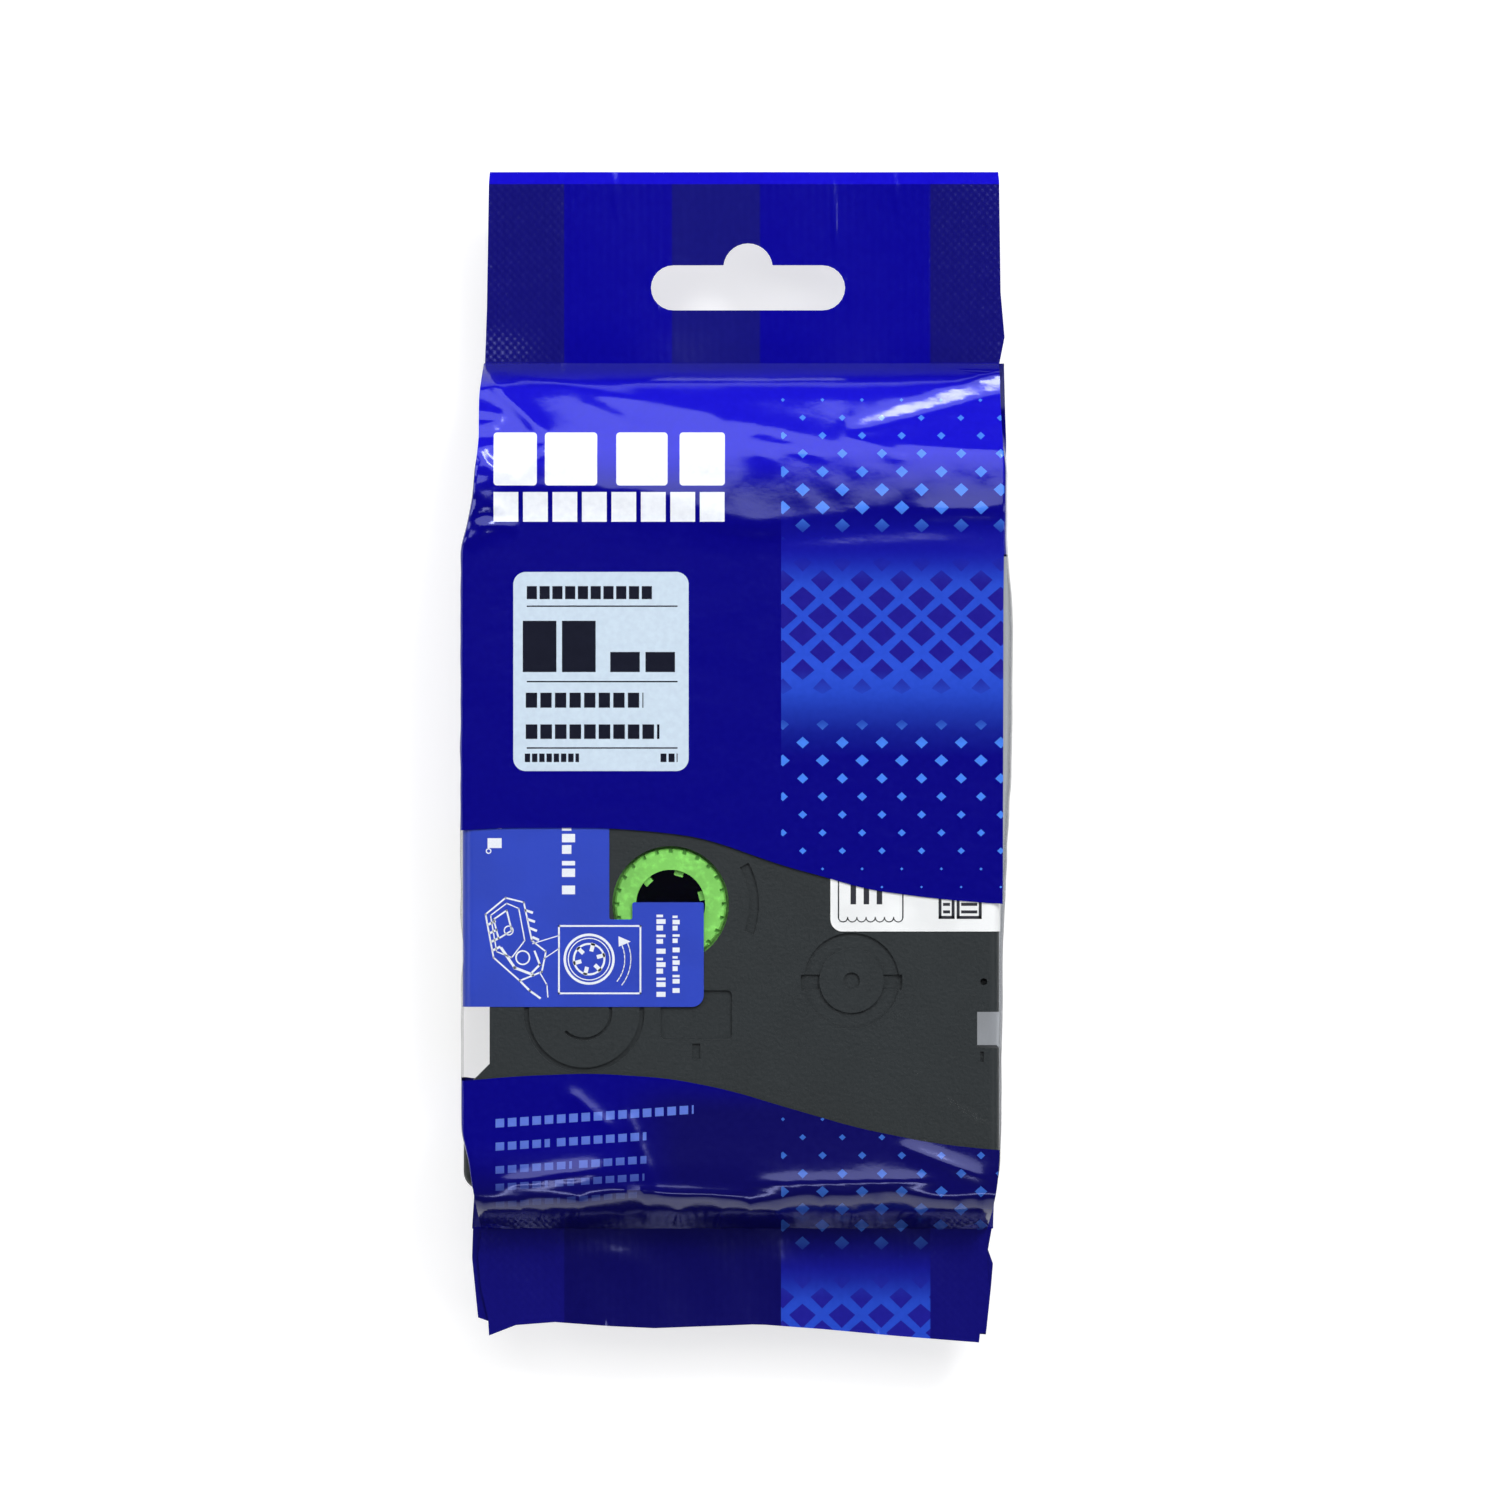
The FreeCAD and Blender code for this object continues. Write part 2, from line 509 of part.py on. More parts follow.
def face_relief():
    """What is moulded in the front face: spool seats, arcs, a panel, a key slot and a gauge hole."""
    low, high = CASE_HIGH - RELIEF, CASE_HIGH + PAST
    seat = ring(CLEAR_X, CLEAR_Y, CLEAR_SEAT, CLEAR_ISLAND, low, high)
    bar = box(CLEAR_X - CLEAR_ROLL, CLEAR_X + CLEAR_ROLL, CLEAR_Y - 3 * SEAT_NOTCH, CLEAR_Y + 2 * SEAT_NOTCH,
              low - SEAT_NOTCH, high)
    notches = bar.common(ring(CLEAR_X, CLEAR_Y, CLEAR_SEAT + SEAT_NOTCH, CLEAR_ISLAND, low - PAST, high))
    panel_points = [
        (PANEL_LEFT, PANEL_FOOT),
        (PANEL_RIGHT, PANEL_FOOT),
        (PANEL_RIGHT, PANEL_TOP),
        (PANEL_LEFT, PANEL_TOP),
    ]
    gauge_x = CASE_RIGHT - GAUGE_IN
    return [
        seat,
        notches,
        disc(CLEAR_X, CLEAR_Y, CLEAR_DOT, low, high),
        ring(RIBBON_X, RIBBON_Y, RIBBON_SEAT, RIBBON_SEAT - RIBBON_GROOVE, low, high),
        arc_wall(RIBBON_X, RIBBON_Y, RIBBON_ARC - ARC_WIDE, ARC_WIDE,
                 RIBBON_ARC_FROM, RIBBON_ARC_SWEEP, low, high),
        arc_wall(TAKE_UP_X, TAKE_UP_Y, TAKE_UP_ARC - TAKE_UP_GROOVE, TAKE_UP_GROOVE,
                 TAKE_UP_FROM, TAKE_UP_SWEEP, low, high),
        slab(rounded(panel_points, PANEL_CORNER), low, high),
        box(KEY_X - KEY_WIDE / 2, KEY_X + KEY_WIDE / 2, KEY_FOOT, KEY_TOP, low, high),
        disc(gauge_x, GAUGE_Y, GAUGE_RADIUS, CASE_HIGH - GAUGE_DEEP, high),
        box(gauge_x - GAUGE_RADIUS, gauge_x, NOTCH_FOOT - 4 * GAUGE_RADIUS, NOTCH_FOOT - GAUGE_RADIUS,
            low, high),
    ]


def top_case():
    shell = case_shell(PART_LEVEL, CASE_HIGH, CASE_HIGH, PART_LEVEL - PAST, CEILING)
    up = CEILING + PLATE / 2
    post = PIN_RADIUS + PIN_FIT + POST_WALL
    posts = [disc(x, y, post, PART_LEVEL, up) for x, y in PIN_PLACES]
    pins = [disc(x, y, PIN_RADIUS, PART_LEVEL - PIN_REACH, PART_LEVEL + PIN_RADIUS) for x, y in PIN_PLACES]
    walls = [head_wall(PART_LEVEL, up), divider(PART_LEVEL, up)]
    shell = fuse([shell] + walls + posts + hubs(CEILING - UPPER_HUB, up))
    shell = fuse([shell.common(case_block(CASE_LOW, CASE_HIGH))] + pins)
    sockets = [disc(x, y, r + GUIDE_FIT, PART_LEVEL, CEILING) for x, y, r in GUIDES]
    cuts = [head_window(CASE_LOW - PAST, CASE_HIGH + PAST)] + journal_holes(CEILING - PAST, CASE_HIGH + PAST)
    for cut in cuts + tape_gaps() + sockets + face_relief():
        shell = shell.cut(cut)
    return shell


# Reels


def spoked_core(x, y, outer, hub_radius):
    """A spool core: an outer tube, an inner tube that runs on the hub, and spokes between."""
    bore = hub_radius + RUN
    half, wide = CORE_WALL / 2, SPOKE_WIDTH / 2
    spoke = box(x + bore + half, x + outer - half, y - wide, y + wide, SPOOL_LOW, SPOOL_HIGH)
    return fuse([
        ring(x, y, outer, outer - CORE_WALL, SPOOL_LOW, SPOOL_HIGH),
        ring(x, y, bore + CORE_WALL, bore, SPOOL_LOW, SPOOL_HIGH),
    ] + around(spoke, x, y, SPOKES))


def wound_roll(x, y, outer, core):
    return ring(x, y, outer, core + WOUND_GAP, TAPE_LOW, TAPE_HIGH)


def spacer(low):
    """A thin slippery disc between the big roll and the case."""
    inner = ADHESIVE_CORE + 2 * WOUND_GAP
    return ring(ADHESIVE_X, ADHESIVE_Y, ADHESIVE_ROLL - STRIP_GAP, inner, low, low + SPACER)


def ribbon_spool():
    """A plain tube with a thinner neck for its clutch spring and grip slots round its upper end."""
    x, y = RIBBON_X, RIBBON_Y
    bore = RIBBON_HUB + RUN
    spool = fuse([
        ring(x, y, RIBBON_CORE, bore, SPOOL_LOW, SPOOL_HIGH),
        ring(x, y, RIBBON_CORE - NECK_STEP, bore, FLOOR + SHOULDER_GAP, TAPE_LOW),
    ])
    grip = box(x + bore + GRIP_DEEP, x + RIBBON_CORE + PAST, y - GRIP_WIDE / 2, y + GRIP_WIDE / 2,
               SPOOL_HIGH - GRIP_DEEP, SPOOL_HIGH + PAST)
    for slot in around(grip, x, y, GRIPS):
        spool = spool.cut(slot)
    return spool


def take_up_spool():
    """The splined spool that winds up used ribbon. Its serrated upper journal shows in the case's face."""
    x, y = TAKE_UP_X, TAKE_UP_Y
    low, face = CASE_LOW + FACE_DROP, CASE_HIGH - FACE_DROP
    body = fuse([
        disc(x, y, TAKE_UP_JOURNAL, low, FLOOR + SHOULDER_GAP),
        disc(x, y, TAKE_UP_CORE, FLOOR, SPOOL_HIGH),
        disc(x, y, TAKE_UP_SHOULDER, SPOOL_LOW, SPOOL_LOW + SHOULDER),
        disc(x, y, TAKE_UP_SHOULDER, SPOOL_HIGH - SHOULDER, SPOOL_HIGH),
        disc(x, y, TAKE_UP_JOURNAL, SPOOL_HIGH - SHOULDER, face),
    ])
    rim = [e for e in body.Edges if abs(e.BoundBox.ZMin - face) < 1e-6 and e.BoundBox.ZLength < 1e-6]
    body = body.makeChamfer(JOURNAL_BEVEL, rim).cut(disc(x, y, TAKE_UP_BORE, low - PAST, face + PAST))
    wide = TOOTH_WIDE / 2
    tooth = box(x + TAKE_UP_BORE - TOOTH_HIGH, x + TAKE_UP_CORE - TOOTH_HIGH, y - wide, y + wide,
                low + TOOTH_HIGH, face - TOOTH_HIGH)
    body = fuse([body] + around(tooth, x, y, TAKE_UP_TEETH, 15.0))
    half = SERRATION_WIDE / 2
    nick = box(x + TAKE_UP_JOURNAL - SERRATION_DEEP, x + TAKE_UP_JOURNAL + PAST, y - half, y + half,
               face - SERRATION_DEEP, face + PAST)
    for cut in around(nick, x, y, SERRATIONS):
        body = body.cut(cut)
    return body


def feed_roller():
    """The splined roller that draws both tapes together, with grooves round its face."""
    x, y = ROLLER_X, ROLLER_Y
    low, high = SPOOL_LOW, SPOOL_HIGH
    body = fuse([
        disc(x, y, ROLLER_RADIUS, low, high),
        disc(x, y, ROLLER_JOURNAL, CASE_LOW + FACE_DROP, CASE_HIGH - FACE_DROP),
    ])
    for i in range(1, ROLLER_RIBS):
        level = mix(low, high, i / ROLLER_RIBS)
        body = body.cut(ring(x, y, ROLLER_RADIUS + PAST, ROLLER_RADIUS - RIB_GROOVE,
                             level - RIB_GROOVE / 2, level + RIB_GROOVE / 2))
    body = body.cut(disc(x, y, ROLLER_BORE, CASE_LOW, CASE_HIGH))
    half = TOOTH_HIGH / 2
    tooth = box(x + ROLLER_BORE - half, x + ROLLER_BORE + half, y - half, y + half, low + PAST, high - PAST)
    return fuse([body] + around(tooth, x, y, ROLLER_TEETH, 10.0))


def wrap_spring(x, y, inner, tail_angle):
    """A clutch spring: flat wire turns round a spool's neck, with a tail that holds in the case."""
    low = FLOOR + SPRING_LIFT
    half = WIRE / 2
    middle = inner + half
    pitch = 1.05 * WIRE
    helix = Part.makeHelix(pitch, pitch * WIRE_TURNS, middle)
    helix.translate(at(x, y, low))
    corners = [(-half, -half), (half, -half), (half, half), (-half, half), (-half, -half)]
    section = Part.makePolygon([at(x + middle + u, y, low + v) for u, v in corners])
    coil = Part.Wire(helix).makePipeShell([section], True, True)
    coil.translate(UP * half)
    tail = box(x + middle, x + middle + WIRE_TAIL, y - half, y + half, low, low + WIRE)
    return turned(fuse([coil, tail]), x, y, tail_angle)


# Strips of tape and ribbon between the reels


def tangent_point(x, y, radius, degrees):
    a = math.radians(degrees)
    return (x + radius * math.cos(a), y + radius * math.sin(a))


def strip(points, thickness):
    """An upright ribbon of the tape's width along a path of (x, y) points, mitred where it turns."""
    path = [at(x, y) for x, y in points]
    steps = [(b - a).normalize() for a, b in zip(path, path[1:])]
    left, right = [], []
    for i, here in enumerate(path):
        before, after = steps[max(i - 1, 0)], steps[min(i, len(steps) - 1)]
        across = UP.cross(before + after).normalize()
        reach = across * (thickness / 2 / across.dot(UP.cross(before)))
        left.append((here.x + reach.x, here.y + reach.y))
        right.append((here.x - reach.x, here.y - reach.y))
    return prism(left + right[::-1], TAPE_LOW, TAPE_HIGH)


def arc_points(x, y, radius, start, stop, steps):
    return [tangent_point(x, y, radius, mix(start, stop, i / steps)) for i in range(steps + 1)]


def clear_film_run():
    """Clear film from its roll, round the corner guide, along the arm and up to the feed roller."""
    gx, gy, gr = CORNER_GUIDE
    path = [tangent_point(CLEAR_X, CLEAR_Y, CLEAR_ROLL + STRIP_GAP, FILM_LEAVES)]
    path += arc_points(gx, gy, gr + STRIP_GAP, FILM_WRAP_FROM, FILM_WRAP_TO, 6)
    path += [
        (FILM_LINE + ARM_LEAN, SET_BACK_TOP - 1.0),
        (FILM_LINE, ARM_FOOT),
        (FILM_LINE, ARM_END + 4.0),
        (ROLLER_X - ROLLER_RADIUS - 4 * STRIP_GAP, ROLLER_Y),
    ]
    return strip(path, STRIP)


def adhesive_tape_run():
    """Two-sided tape from its roll to the underside of the feed roller."""
    distance = math.hypot(ADHESIVE_X - ROLLER_X, ADHESIVE_Y - ROLLER_Y)
    reach = ROLLER_RADIUS + STRIP_GAP
    lean = math.degrees(math.asin((ADHESIVE_ROLL + reach + STRIP_GAP) / distance))
    line = math.degrees(math.atan2(ROLLER_Y - ADHESIVE_Y, ROLLER_X - ADHESIVE_X)) + lean
    leave = line - 90.0
    path = [tangent_point(ADHESIVE_X, ADHESIVE_Y, ADHESIVE_ROLL + STRIP_GAP, leave)]
    path += arc_points(ROLLER_X, ROLLER_Y, reach, leave + 180.0, 180.0, 10)
    return strip(path, STRIP)


def laminated_leader():
    """The joined tape that stands out of the case at its exit."""
    start = (ROLLER_X - ROLLER_RADIUS - 2.5 * STRIP_GAP, ROLLER_Y + 0.6)
    stop = (start[0] + 0.9, CASE_TOP - 0.6)
    return strip([start, stop], 2 * STRIP)


def ribbon_run():
    """Ink ribbon from its roll, along the arm beside the film, and back to the take-up spool."""
    gx, gy, gr = RETURN_GUIDE
    hx, hy, hr = TURN_GUIDE
    line = FILM_LINE + 2.5 * STRIP_GAP
    path = [tangent_point(RIBBON_X, RIBBON_Y, RIBBON_ROLL + STRIP_GAP, RIBBON_LEAVES)]
    path += [
        (line + ARM_LEAN, SET_BACK_TOP - 0.8),
        (line, ARM_FOOT),
        (line, ARM_END + 4.0),
    ]
    path += arc_points(gx, gy, gr + STRIP_GAP, RIBBON_WRAP_FROM, RIBBON_WRAP_TO, 5)
    path += [(HEAD_RIGHT + WALL + 0.6, HEAD_TOP + WALL + 0.9), (HEAD_RIGHT + WALL + 1.0, HEAD_TOP - 2.0)]
    path += [(hx + hr + STRIP_GAP, hy)]
    path += [tangent_point(TAKE_UP_X, TAKE_UP_Y, TAKE_UP_ROLL + STRIP_GAP, RIBBON_JOINS)]
    return strip(path, STRIP)


# Labels on the case


def wrapped_label(wire, edge_x, side, past):
    """A paper label that turns over one long edge of the case and down its side, past the parting line."""
    face_part = slab(wire, CASE_HIGH, CASE_HIGH + LABEL)
    y0, y1 = wire.BoundBox.YMin, wire.BoundBox.YMax
    r = EDGE_ROUND
    bend_x, bend_z = edge_x - side * r, CASE_HIGH - r
    far = [bend_x, bend_x - side * (CASE_RIGHT - CASE_LEFT)]
    flat = face_part.common(box(min(far), max(far), y0 - PAST, y1 + PAST, CASE_HIGH - PAST, CASE_HIGH + PAST))
    along, start = Vector(0, 1, 0), at(bend_x, y0, bend_z)
    tube = Part.makeCylinder(r + LABEL, y1 - y0, start, along).cut(Part.makeCylinder(r, y1 - y0, start, along))
    near = [bend_x, edge_x + side * PAST]
    bend = tube.common(box(min(near), max(near), y0, y1, bend_z, CASE_HIGH + PAST))
    skin = [edge_x, edge_x + side * LABEL]
    down = box(min(skin), max(skin), y0, y1, PART_LEVEL - past, bend_z)
    return fuse([flat, bend, down])


def instruction_sticker():
    far = CASE_LEFT - 2 * PAST
    points = [
        (far, STICKER_FOOT, 0.0),
        (LOBE_RIGHT, STICKER_FOOT, LABEL_CORNER),
        (LOBE_RIGHT, LOBE_TOP, 0.2),
        (LOBE_LEFT, LOBE_TOP, 0.2),
        (LOBE_LEFT, STICKER_STEP, 0.2),
        (STICKER_RIGHT, STICKER_STEP, 0.2),
        (STICKER_RIGHT, STICKER_TOP, LABEL_CORNER),
        (far, STICKER_TOP, 0.0),
    ]
    return wrapped_label(rounded(points, 0.2), CASE_LEFT, -1, STICKER_PAST)


def type_label():
    far = CASE_RIGHT + 2 * PAST
    points = [
        (TYPE_LEFT, TYPE_FOOT, LABEL_CORNER),
        (far, TYPE_FOOT, 0.0),
        (far, TYPE_TOP, 0.0),
        (TYPE_LEFT, TYPE_TOP, LABEL_CORNER),
    ]
    return wrapped_label(rounded(points, LABEL_CORNER), CASE_RIGHT, 1, TYPE_PAST)


def parts():
    return {
        "film_pack": film_pack(),
        "bottom_case": bottom_case(),
        "top_case": top_case(),
        "adhesive_spool": spoked_core(ADHESIVE_X, ADHESIVE_Y, ADHESIVE_CORE, ADHESIVE_HUB),
        "adhesive_tape_roll": wound_roll(ADHESIVE_X, ADHESIVE_Y, ADHESIVE_ROLL, ADHESIVE_CORE),
        "lower_spacer": spacer(TAPE_LOW - WOUND_GAP - SPACER),
        "upper_spacer": spacer(TAPE_HIGH + WOUND_GAP),
        "clear_film_spool": spoked_core(CLEAR_X, CLEAR_Y, CLEAR_CORE, CLEAR_HUB),
        "clear_film_roll": wound_roll(CLEAR_X, CLEAR_Y, CLEAR_ROLL, CLEAR_CORE),
        "ribbon_spool": ribbon_spool(),
        "ink_ribbon_roll": wound_roll(RIBBON_X, RIBBON_Y, RIBBON_ROLL, RIBBON_CORE),
        "ribbon_clutch_spring": wrap_spring(RIBBON_X, RIBBON_Y, RIBBON_CORE - NECK_STEP + RUN, RIBBON_TAIL),
        "take_up_spool": take_up_spool(),
        "used_ribbon_turns": wound_roll(TAKE_UP_X, TAKE_UP_Y, TAKE_UP_ROLL, TAKE_UP_CORE),
        "take_up_clutch_spring": wrap_spring(TAKE_UP_X, TAKE_UP_Y, TAKE_UP_CORE + RUN, TAKE_UP_TAIL),
        "feed_roller": feed_roller(),
        "clear_film_run": clear_film_run(),
        "adhesive_tape_run": adhesive_tape_run(),
        "ink_ribbon_run": ribbon_run(),
        "laminated_leader": laminated_leader(),
        "instruction_sticker": instruction_sticker(),
        "type_label": type_label(),
    }


os.makedirs("parts", exist_ok=True)
for name, shape in parts().items():
    shape.exportStep(os.path.join("parts", name + ".step"))
    bounds = shape.BoundBox
    print(name, shape.isValid(), len(shape.Solids), len(shape.Faces), round(shape.Volume, 2),
          [round(v, 2) for v in (bounds.XMin, bounds.XMax, bounds.YMin, bounds.YMax, bounds.ZMin, bounds.ZMax)])
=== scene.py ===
import json
import math

import bpy
import numpy as np
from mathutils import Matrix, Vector, geometry, noise

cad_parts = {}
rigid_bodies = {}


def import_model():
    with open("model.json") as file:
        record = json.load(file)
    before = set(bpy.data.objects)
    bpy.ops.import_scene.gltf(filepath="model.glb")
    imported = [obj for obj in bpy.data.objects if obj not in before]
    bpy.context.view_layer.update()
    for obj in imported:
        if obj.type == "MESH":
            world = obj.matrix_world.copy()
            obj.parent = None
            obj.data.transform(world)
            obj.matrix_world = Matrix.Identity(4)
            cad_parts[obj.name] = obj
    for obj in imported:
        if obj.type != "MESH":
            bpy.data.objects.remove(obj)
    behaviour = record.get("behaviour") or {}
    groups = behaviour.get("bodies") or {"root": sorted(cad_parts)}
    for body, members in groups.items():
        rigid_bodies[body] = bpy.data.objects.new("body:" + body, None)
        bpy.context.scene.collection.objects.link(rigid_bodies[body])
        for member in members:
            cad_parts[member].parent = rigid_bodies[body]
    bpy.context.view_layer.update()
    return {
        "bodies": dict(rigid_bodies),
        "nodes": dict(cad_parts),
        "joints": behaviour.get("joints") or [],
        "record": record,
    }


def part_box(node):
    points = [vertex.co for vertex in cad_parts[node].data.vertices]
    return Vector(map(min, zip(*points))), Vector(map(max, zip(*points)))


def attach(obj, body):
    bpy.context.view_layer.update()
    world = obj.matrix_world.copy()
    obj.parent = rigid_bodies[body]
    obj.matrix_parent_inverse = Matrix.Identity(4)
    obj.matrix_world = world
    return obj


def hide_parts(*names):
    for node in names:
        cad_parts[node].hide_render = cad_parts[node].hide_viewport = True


MM = 0.001

# Colours as a painter would read them, from 0 to 255
PRINT_BLUE = (5, 1, 126)
HEADER_BLUE = (6, 1, 146)
# The shoulder's blue is the print's blue with painted light on it
SHOULDER_PAINTED_LIGHT_BLUE = (22, 16, 200)
GUSSET_BLUE = (17, 14, 112)
FIN_BLUE = (19, 18, 118)
EDGE_BLUE = (20, 10, 205)
FOOT_BLUE = (11, 8, 90)
PATTERN_GROUND = (30, 34, 190)
LATTICE_BLUE = (42, 80, 210)
DIAMOND_BLUE = (70, 130, 238)
HOLE_BLUE = (30, 24, 142)
FOOT_TEXT_BLUE = (92, 118, 210)
PANEL_PALE = (203, 220, 234)
TITLE_WHITE = (240, 244, 250)
INK = (24, 26, 38)
STICKER_BLUE = (34, 64, 188)
MARK_WHITE = (240, 245, 252)
SPOOL_GREEN = (110, 182, 80)
CASE_GREY = (37, 42, 44)
LABEL_WHITE = (246, 248, 248)
CORE_WHITE = (232, 232, 226)
FILM_CORE_WHITE = (228, 229, 224)
CORE_GREY = (128, 130, 132)
ROLLER_BLACK = (34, 34, 36)
LOWER_SPACER_PALE = (214, 216, 214)
UPPER_SPACER_PALE = (218, 219, 216)
TAPE_WHITE, TAPE_LINE = (234, 233, 226), (176, 170, 150)
CLEAR_TAPE, CLEAR_TAPE_LINE = (190, 200, 208), (120, 132, 142)
CLEAR_STRIP = (196, 206, 214)
LEADER_WHITE = (238, 239, 238)
RIBBON_BLACK, RIBBON_LINE = (26, 25, 28), (58, 56, 60)
USED_RIBBON_BLACK, USED_RIBBON_LINE = (34, 33, 36), (74, 72, 74)

FLOAT, VECTOR = "NodeSocketFloat", "NodeSocketVector"

# Where the film body meets its two seals, and where the case's ends lie under it
HEADER_FOOT, FOOT_TOP = 39.4, -47.1
CASE_TOP, CASE_FOOT = 30.0, -43.0
# The film's outline seen from the front: (y, x) down the left side and down the right side
LEFT_FOLD = [(39.4, -25.3), (36.0, -25.7), (31.7, -25.7), (28.7, -26.0), (25.7, -26.2), (22.7, -26.8),
             (20.7, -27.3), (0.0, -27.35), (-16.0, -27.3), (-19.3, -26.95), (-22.3, -27.2), (-37.3, -27.2),
             (-40.3, -26.5), (-43.3, -26.2), (-47.1, -25.5)]
RIGHT_FOLD = [(39.4, 26.2), (34.8, 26.3), (28.7, 26.6), (20.0, 26.55), (15.0, 26.5), (-12.0, 26.45),
              (-37.0, 26.2), (-40.3, 26.1), (-43.3, 25.8), (-47.1, 25.0)]
LEFT_BACK = [(39.4, -25.0), (28.7, -26.0), (20.0, -27.3), (-37.3, -27.3), (-43.3, -26.4), (-47.1, -26.5)]
RIGHT_BACK = [(39.4, 26.7), (31.7, 27.05), (20.0, 27.1), (15.0, 26.6), (-37.0, 26.2), (-43.3, 25.9),
              (-47.1, 25.6)]
LEFT_SWELL = [(39.4, 0.0), (30.0, 0.0), (22.0, 0.15), (-36.0, 0.15), (-43.0, 0.0)]
RIGHT_SWELL = [(39.4, 0.0), (20.5, 0.1), (15.5, 0.9), (-1.0, 0.85), (-12.0, 0.3), (-20.0, 0.0),
               (-43.0, 0.0)]
# How the front film stands over the case, from the header seal to the foot seal: (y, z)
FRONT_RISE = [(40.0, 7.4), (39.4, 8.75), (38.6, 10.9), (37.4, 12.9), (36.0, 14.0), (34.85, 14.6),
              (32.4, 15.8),
              (30.4, 16.74), (29.0, 16.8), (0.0, 16.8), (-30.0, 16.78), (-38.0, 16.86), (-41.0, 16.95),
              (-43.2, 16.6), (-44.3, 15.2), (-45.3, 13.35), (-46.2, 11.0), (-47.1, 8.75), (-47.7, 7.3)]
BACK_RISE = [(40.0, 9.07), (39.4, 8.35), (34.85, 2.9), (30.3, 0.32), (-43.3, 0.32), (-45.2, 3.7),
             (-47.1, 8.35), (-47.7, 9.8)]
GUSSET_IN = [(39.4, 7.5), (34.85, 3.85), (30.3, 0.3), (28.9, 0.0), (-42.0, 0.0), (-43.3, 0.3),
             (-45.2, 3.85), (-47.1, 7.4)]

# The slack film's crest over the case's upper end: (x, y). It falls from there to the case's edge.
CREST = [(-27.6, 27.0), (-10.0, 27.0), (-3.0, 24.6), (1.5, 23.6), (7.0, 23.8), (14.0, 24.8), (26.6, 25.2)]
CREST_RISE, CREST_FALL = 0.42, 2.4
CREST_END, CREST_REACH = 30.4, 6.8
# The dent beside the right gusset: its mouth and the bright roll above it, as lines from their left ends
DENT_FOOT = ((11.4, 31.9), (26.0, 30.4))
DENT_MOUTH = ((10.9, 32.2), (25.6, 36.2))
DENT_ROLL = ((10.6, 33.3), (25.6, 38.5))
MOUTH_SLOPE, ROLL_SLOPE = 0.80, 0.27
DENT_END = 39.3
# The clear window: where the print stops, from left to right (x, y)
WINDOW_TOP = [(-27.6, -7.3), (-24.0, -7.0), (-22.0, -7.0), (-12.9, -7.0), (-6.7, -7.5), (-2.9, -8.1),
              (4.7, -10.8), (9.3, -12.0), (12.4, -13.0), (14.3, -13.3), (20.0, -14.05), (26.6, -14.6)]
WINDOW_FOOT = [(-27.6, -32.2), (-22.1, -31.7), (-14.4, -31.4), (-6.7, -31.9), (-0.6, -33.1), (4.7, -34.7),
               (12.4, -36.9), (20.0, -38.4), (26.6, -39.1)]
# The side's clear stretch ends here, the back's print runs between these two places, and the clear film
# to the right of it lets through less up to a level: painted shade, for the notch and the case's side in shade
SIDE_WINDOW_TOP = 20.2
BACK_PRINT = (-21.5, 23.4)
PAINTED_SHADE_TOP = 4.5

# Sharp and soft folds in the front film: start, end, width, height
FOLDS = [
    ((10.0, 32.6), (17.0, 29.6), 0.5, 0.14),
    ((-25.4, 38.4), (-18.5, 31.6), 0.8, 0.45),
    ((-25.2, 38.9), (-8.5, 35.4), 1.0, 0.30),
    ((-8.5, 35.4), (14.0, 30.4), 1.3, 0.25),
    ((-18.5, 31.6), (-22.8, 26.5), 0.7, 0.30),
    ((-26.2, 31.0), (-23.4, 27.4), 0.5, 0.35),
    ((-26.4, 26.6), (-23.0, 24.4), 0.45, 0.40),
    ((-26.9, 23.6), (-23.4, 27.0), 0.4, 0.35),
    ((-27.2, 21.2), (-24.2, 23.4), 0.6, 0.30),
    ((-14.0, 27.0), (-6.2, 22.9), 1.6, 0.18),
    ((-6.2, 22.9), (4.4, 22.6), 1.4, 0.16),
    ((-15.9, 35.6), (-10.9, 33.3), 0.9, 0.22),
    ((-2.0, 33.5), (4.2, 28.9), 1.2, 0.20),
    ((1.2, 31.7), (9.0, 29.9), 0.45, 0.18),
    ((17.8, 24.3), (26.4, 24.6), 0.8, 0.20),
    ((4.0, 20.9), (24.0, 21.4), 1.2, 0.12),
    ((-24.3, -42.6), (-13.2, -40.9), 0.7, 0.45),
    ((-13.2, -42.9), (1.1, -43.8), 0.6, 0.35),
    ((0.5, -42.4), (20.8, -42.0), 0.8, 0.45),
    ((-11.0, -35.2), (-8.0, -43.4), 0.5, 0.22),
    ((-17.0, -33.0), (-12.0, -37.5), 0.7, 0.20),
    ((16.0, -38.5), (25.5, -42.2), 0.8, 0.30),
    ((20.0, -34.0), (25.6, -37.5), 0.6, 0.20),
    ((2.5, -12.5), (3.0, -31.0), 0.6, 0.06),
    ((-9.0, -24.0), (1.0, -32.0), 0.7, 0.08),
    ((9.0, -29.0), (21.0, -33.0), 0.8, 0.12),
]
LEFT_PUCKERS = 9
FOOT_PUCKERS = 16


def linear(colour):
    """A colour from 0 to 255 as the renderer needs it."""
    shares = [c / 255.0 for c in colour]
    made = [s / 12.92 if s <= 0.04045 else ((s + 0.055) / 1.055) ** 2.4 for s in shares]
    return (*made, 1.0)


# Shader node helpers


def fill(tree, socket, value):
    """A socket is linked to another socket, or holds a plain value."""
    if isinstance(value, bpy.types.NodeSocket):
        tree.links.new(value, socket)
    else:
        socket.default_value = value


def add(tree, kind, inputs=None, **settings):
    """A new node with its settings and inputs."""
    made = tree.nodes.new(kind)
    for name, value in settings.items():
        setattr(made, name, value)
    for key, value in (inputs or {}).items():
        fill(tree, made.inputs[key], value)
    return made


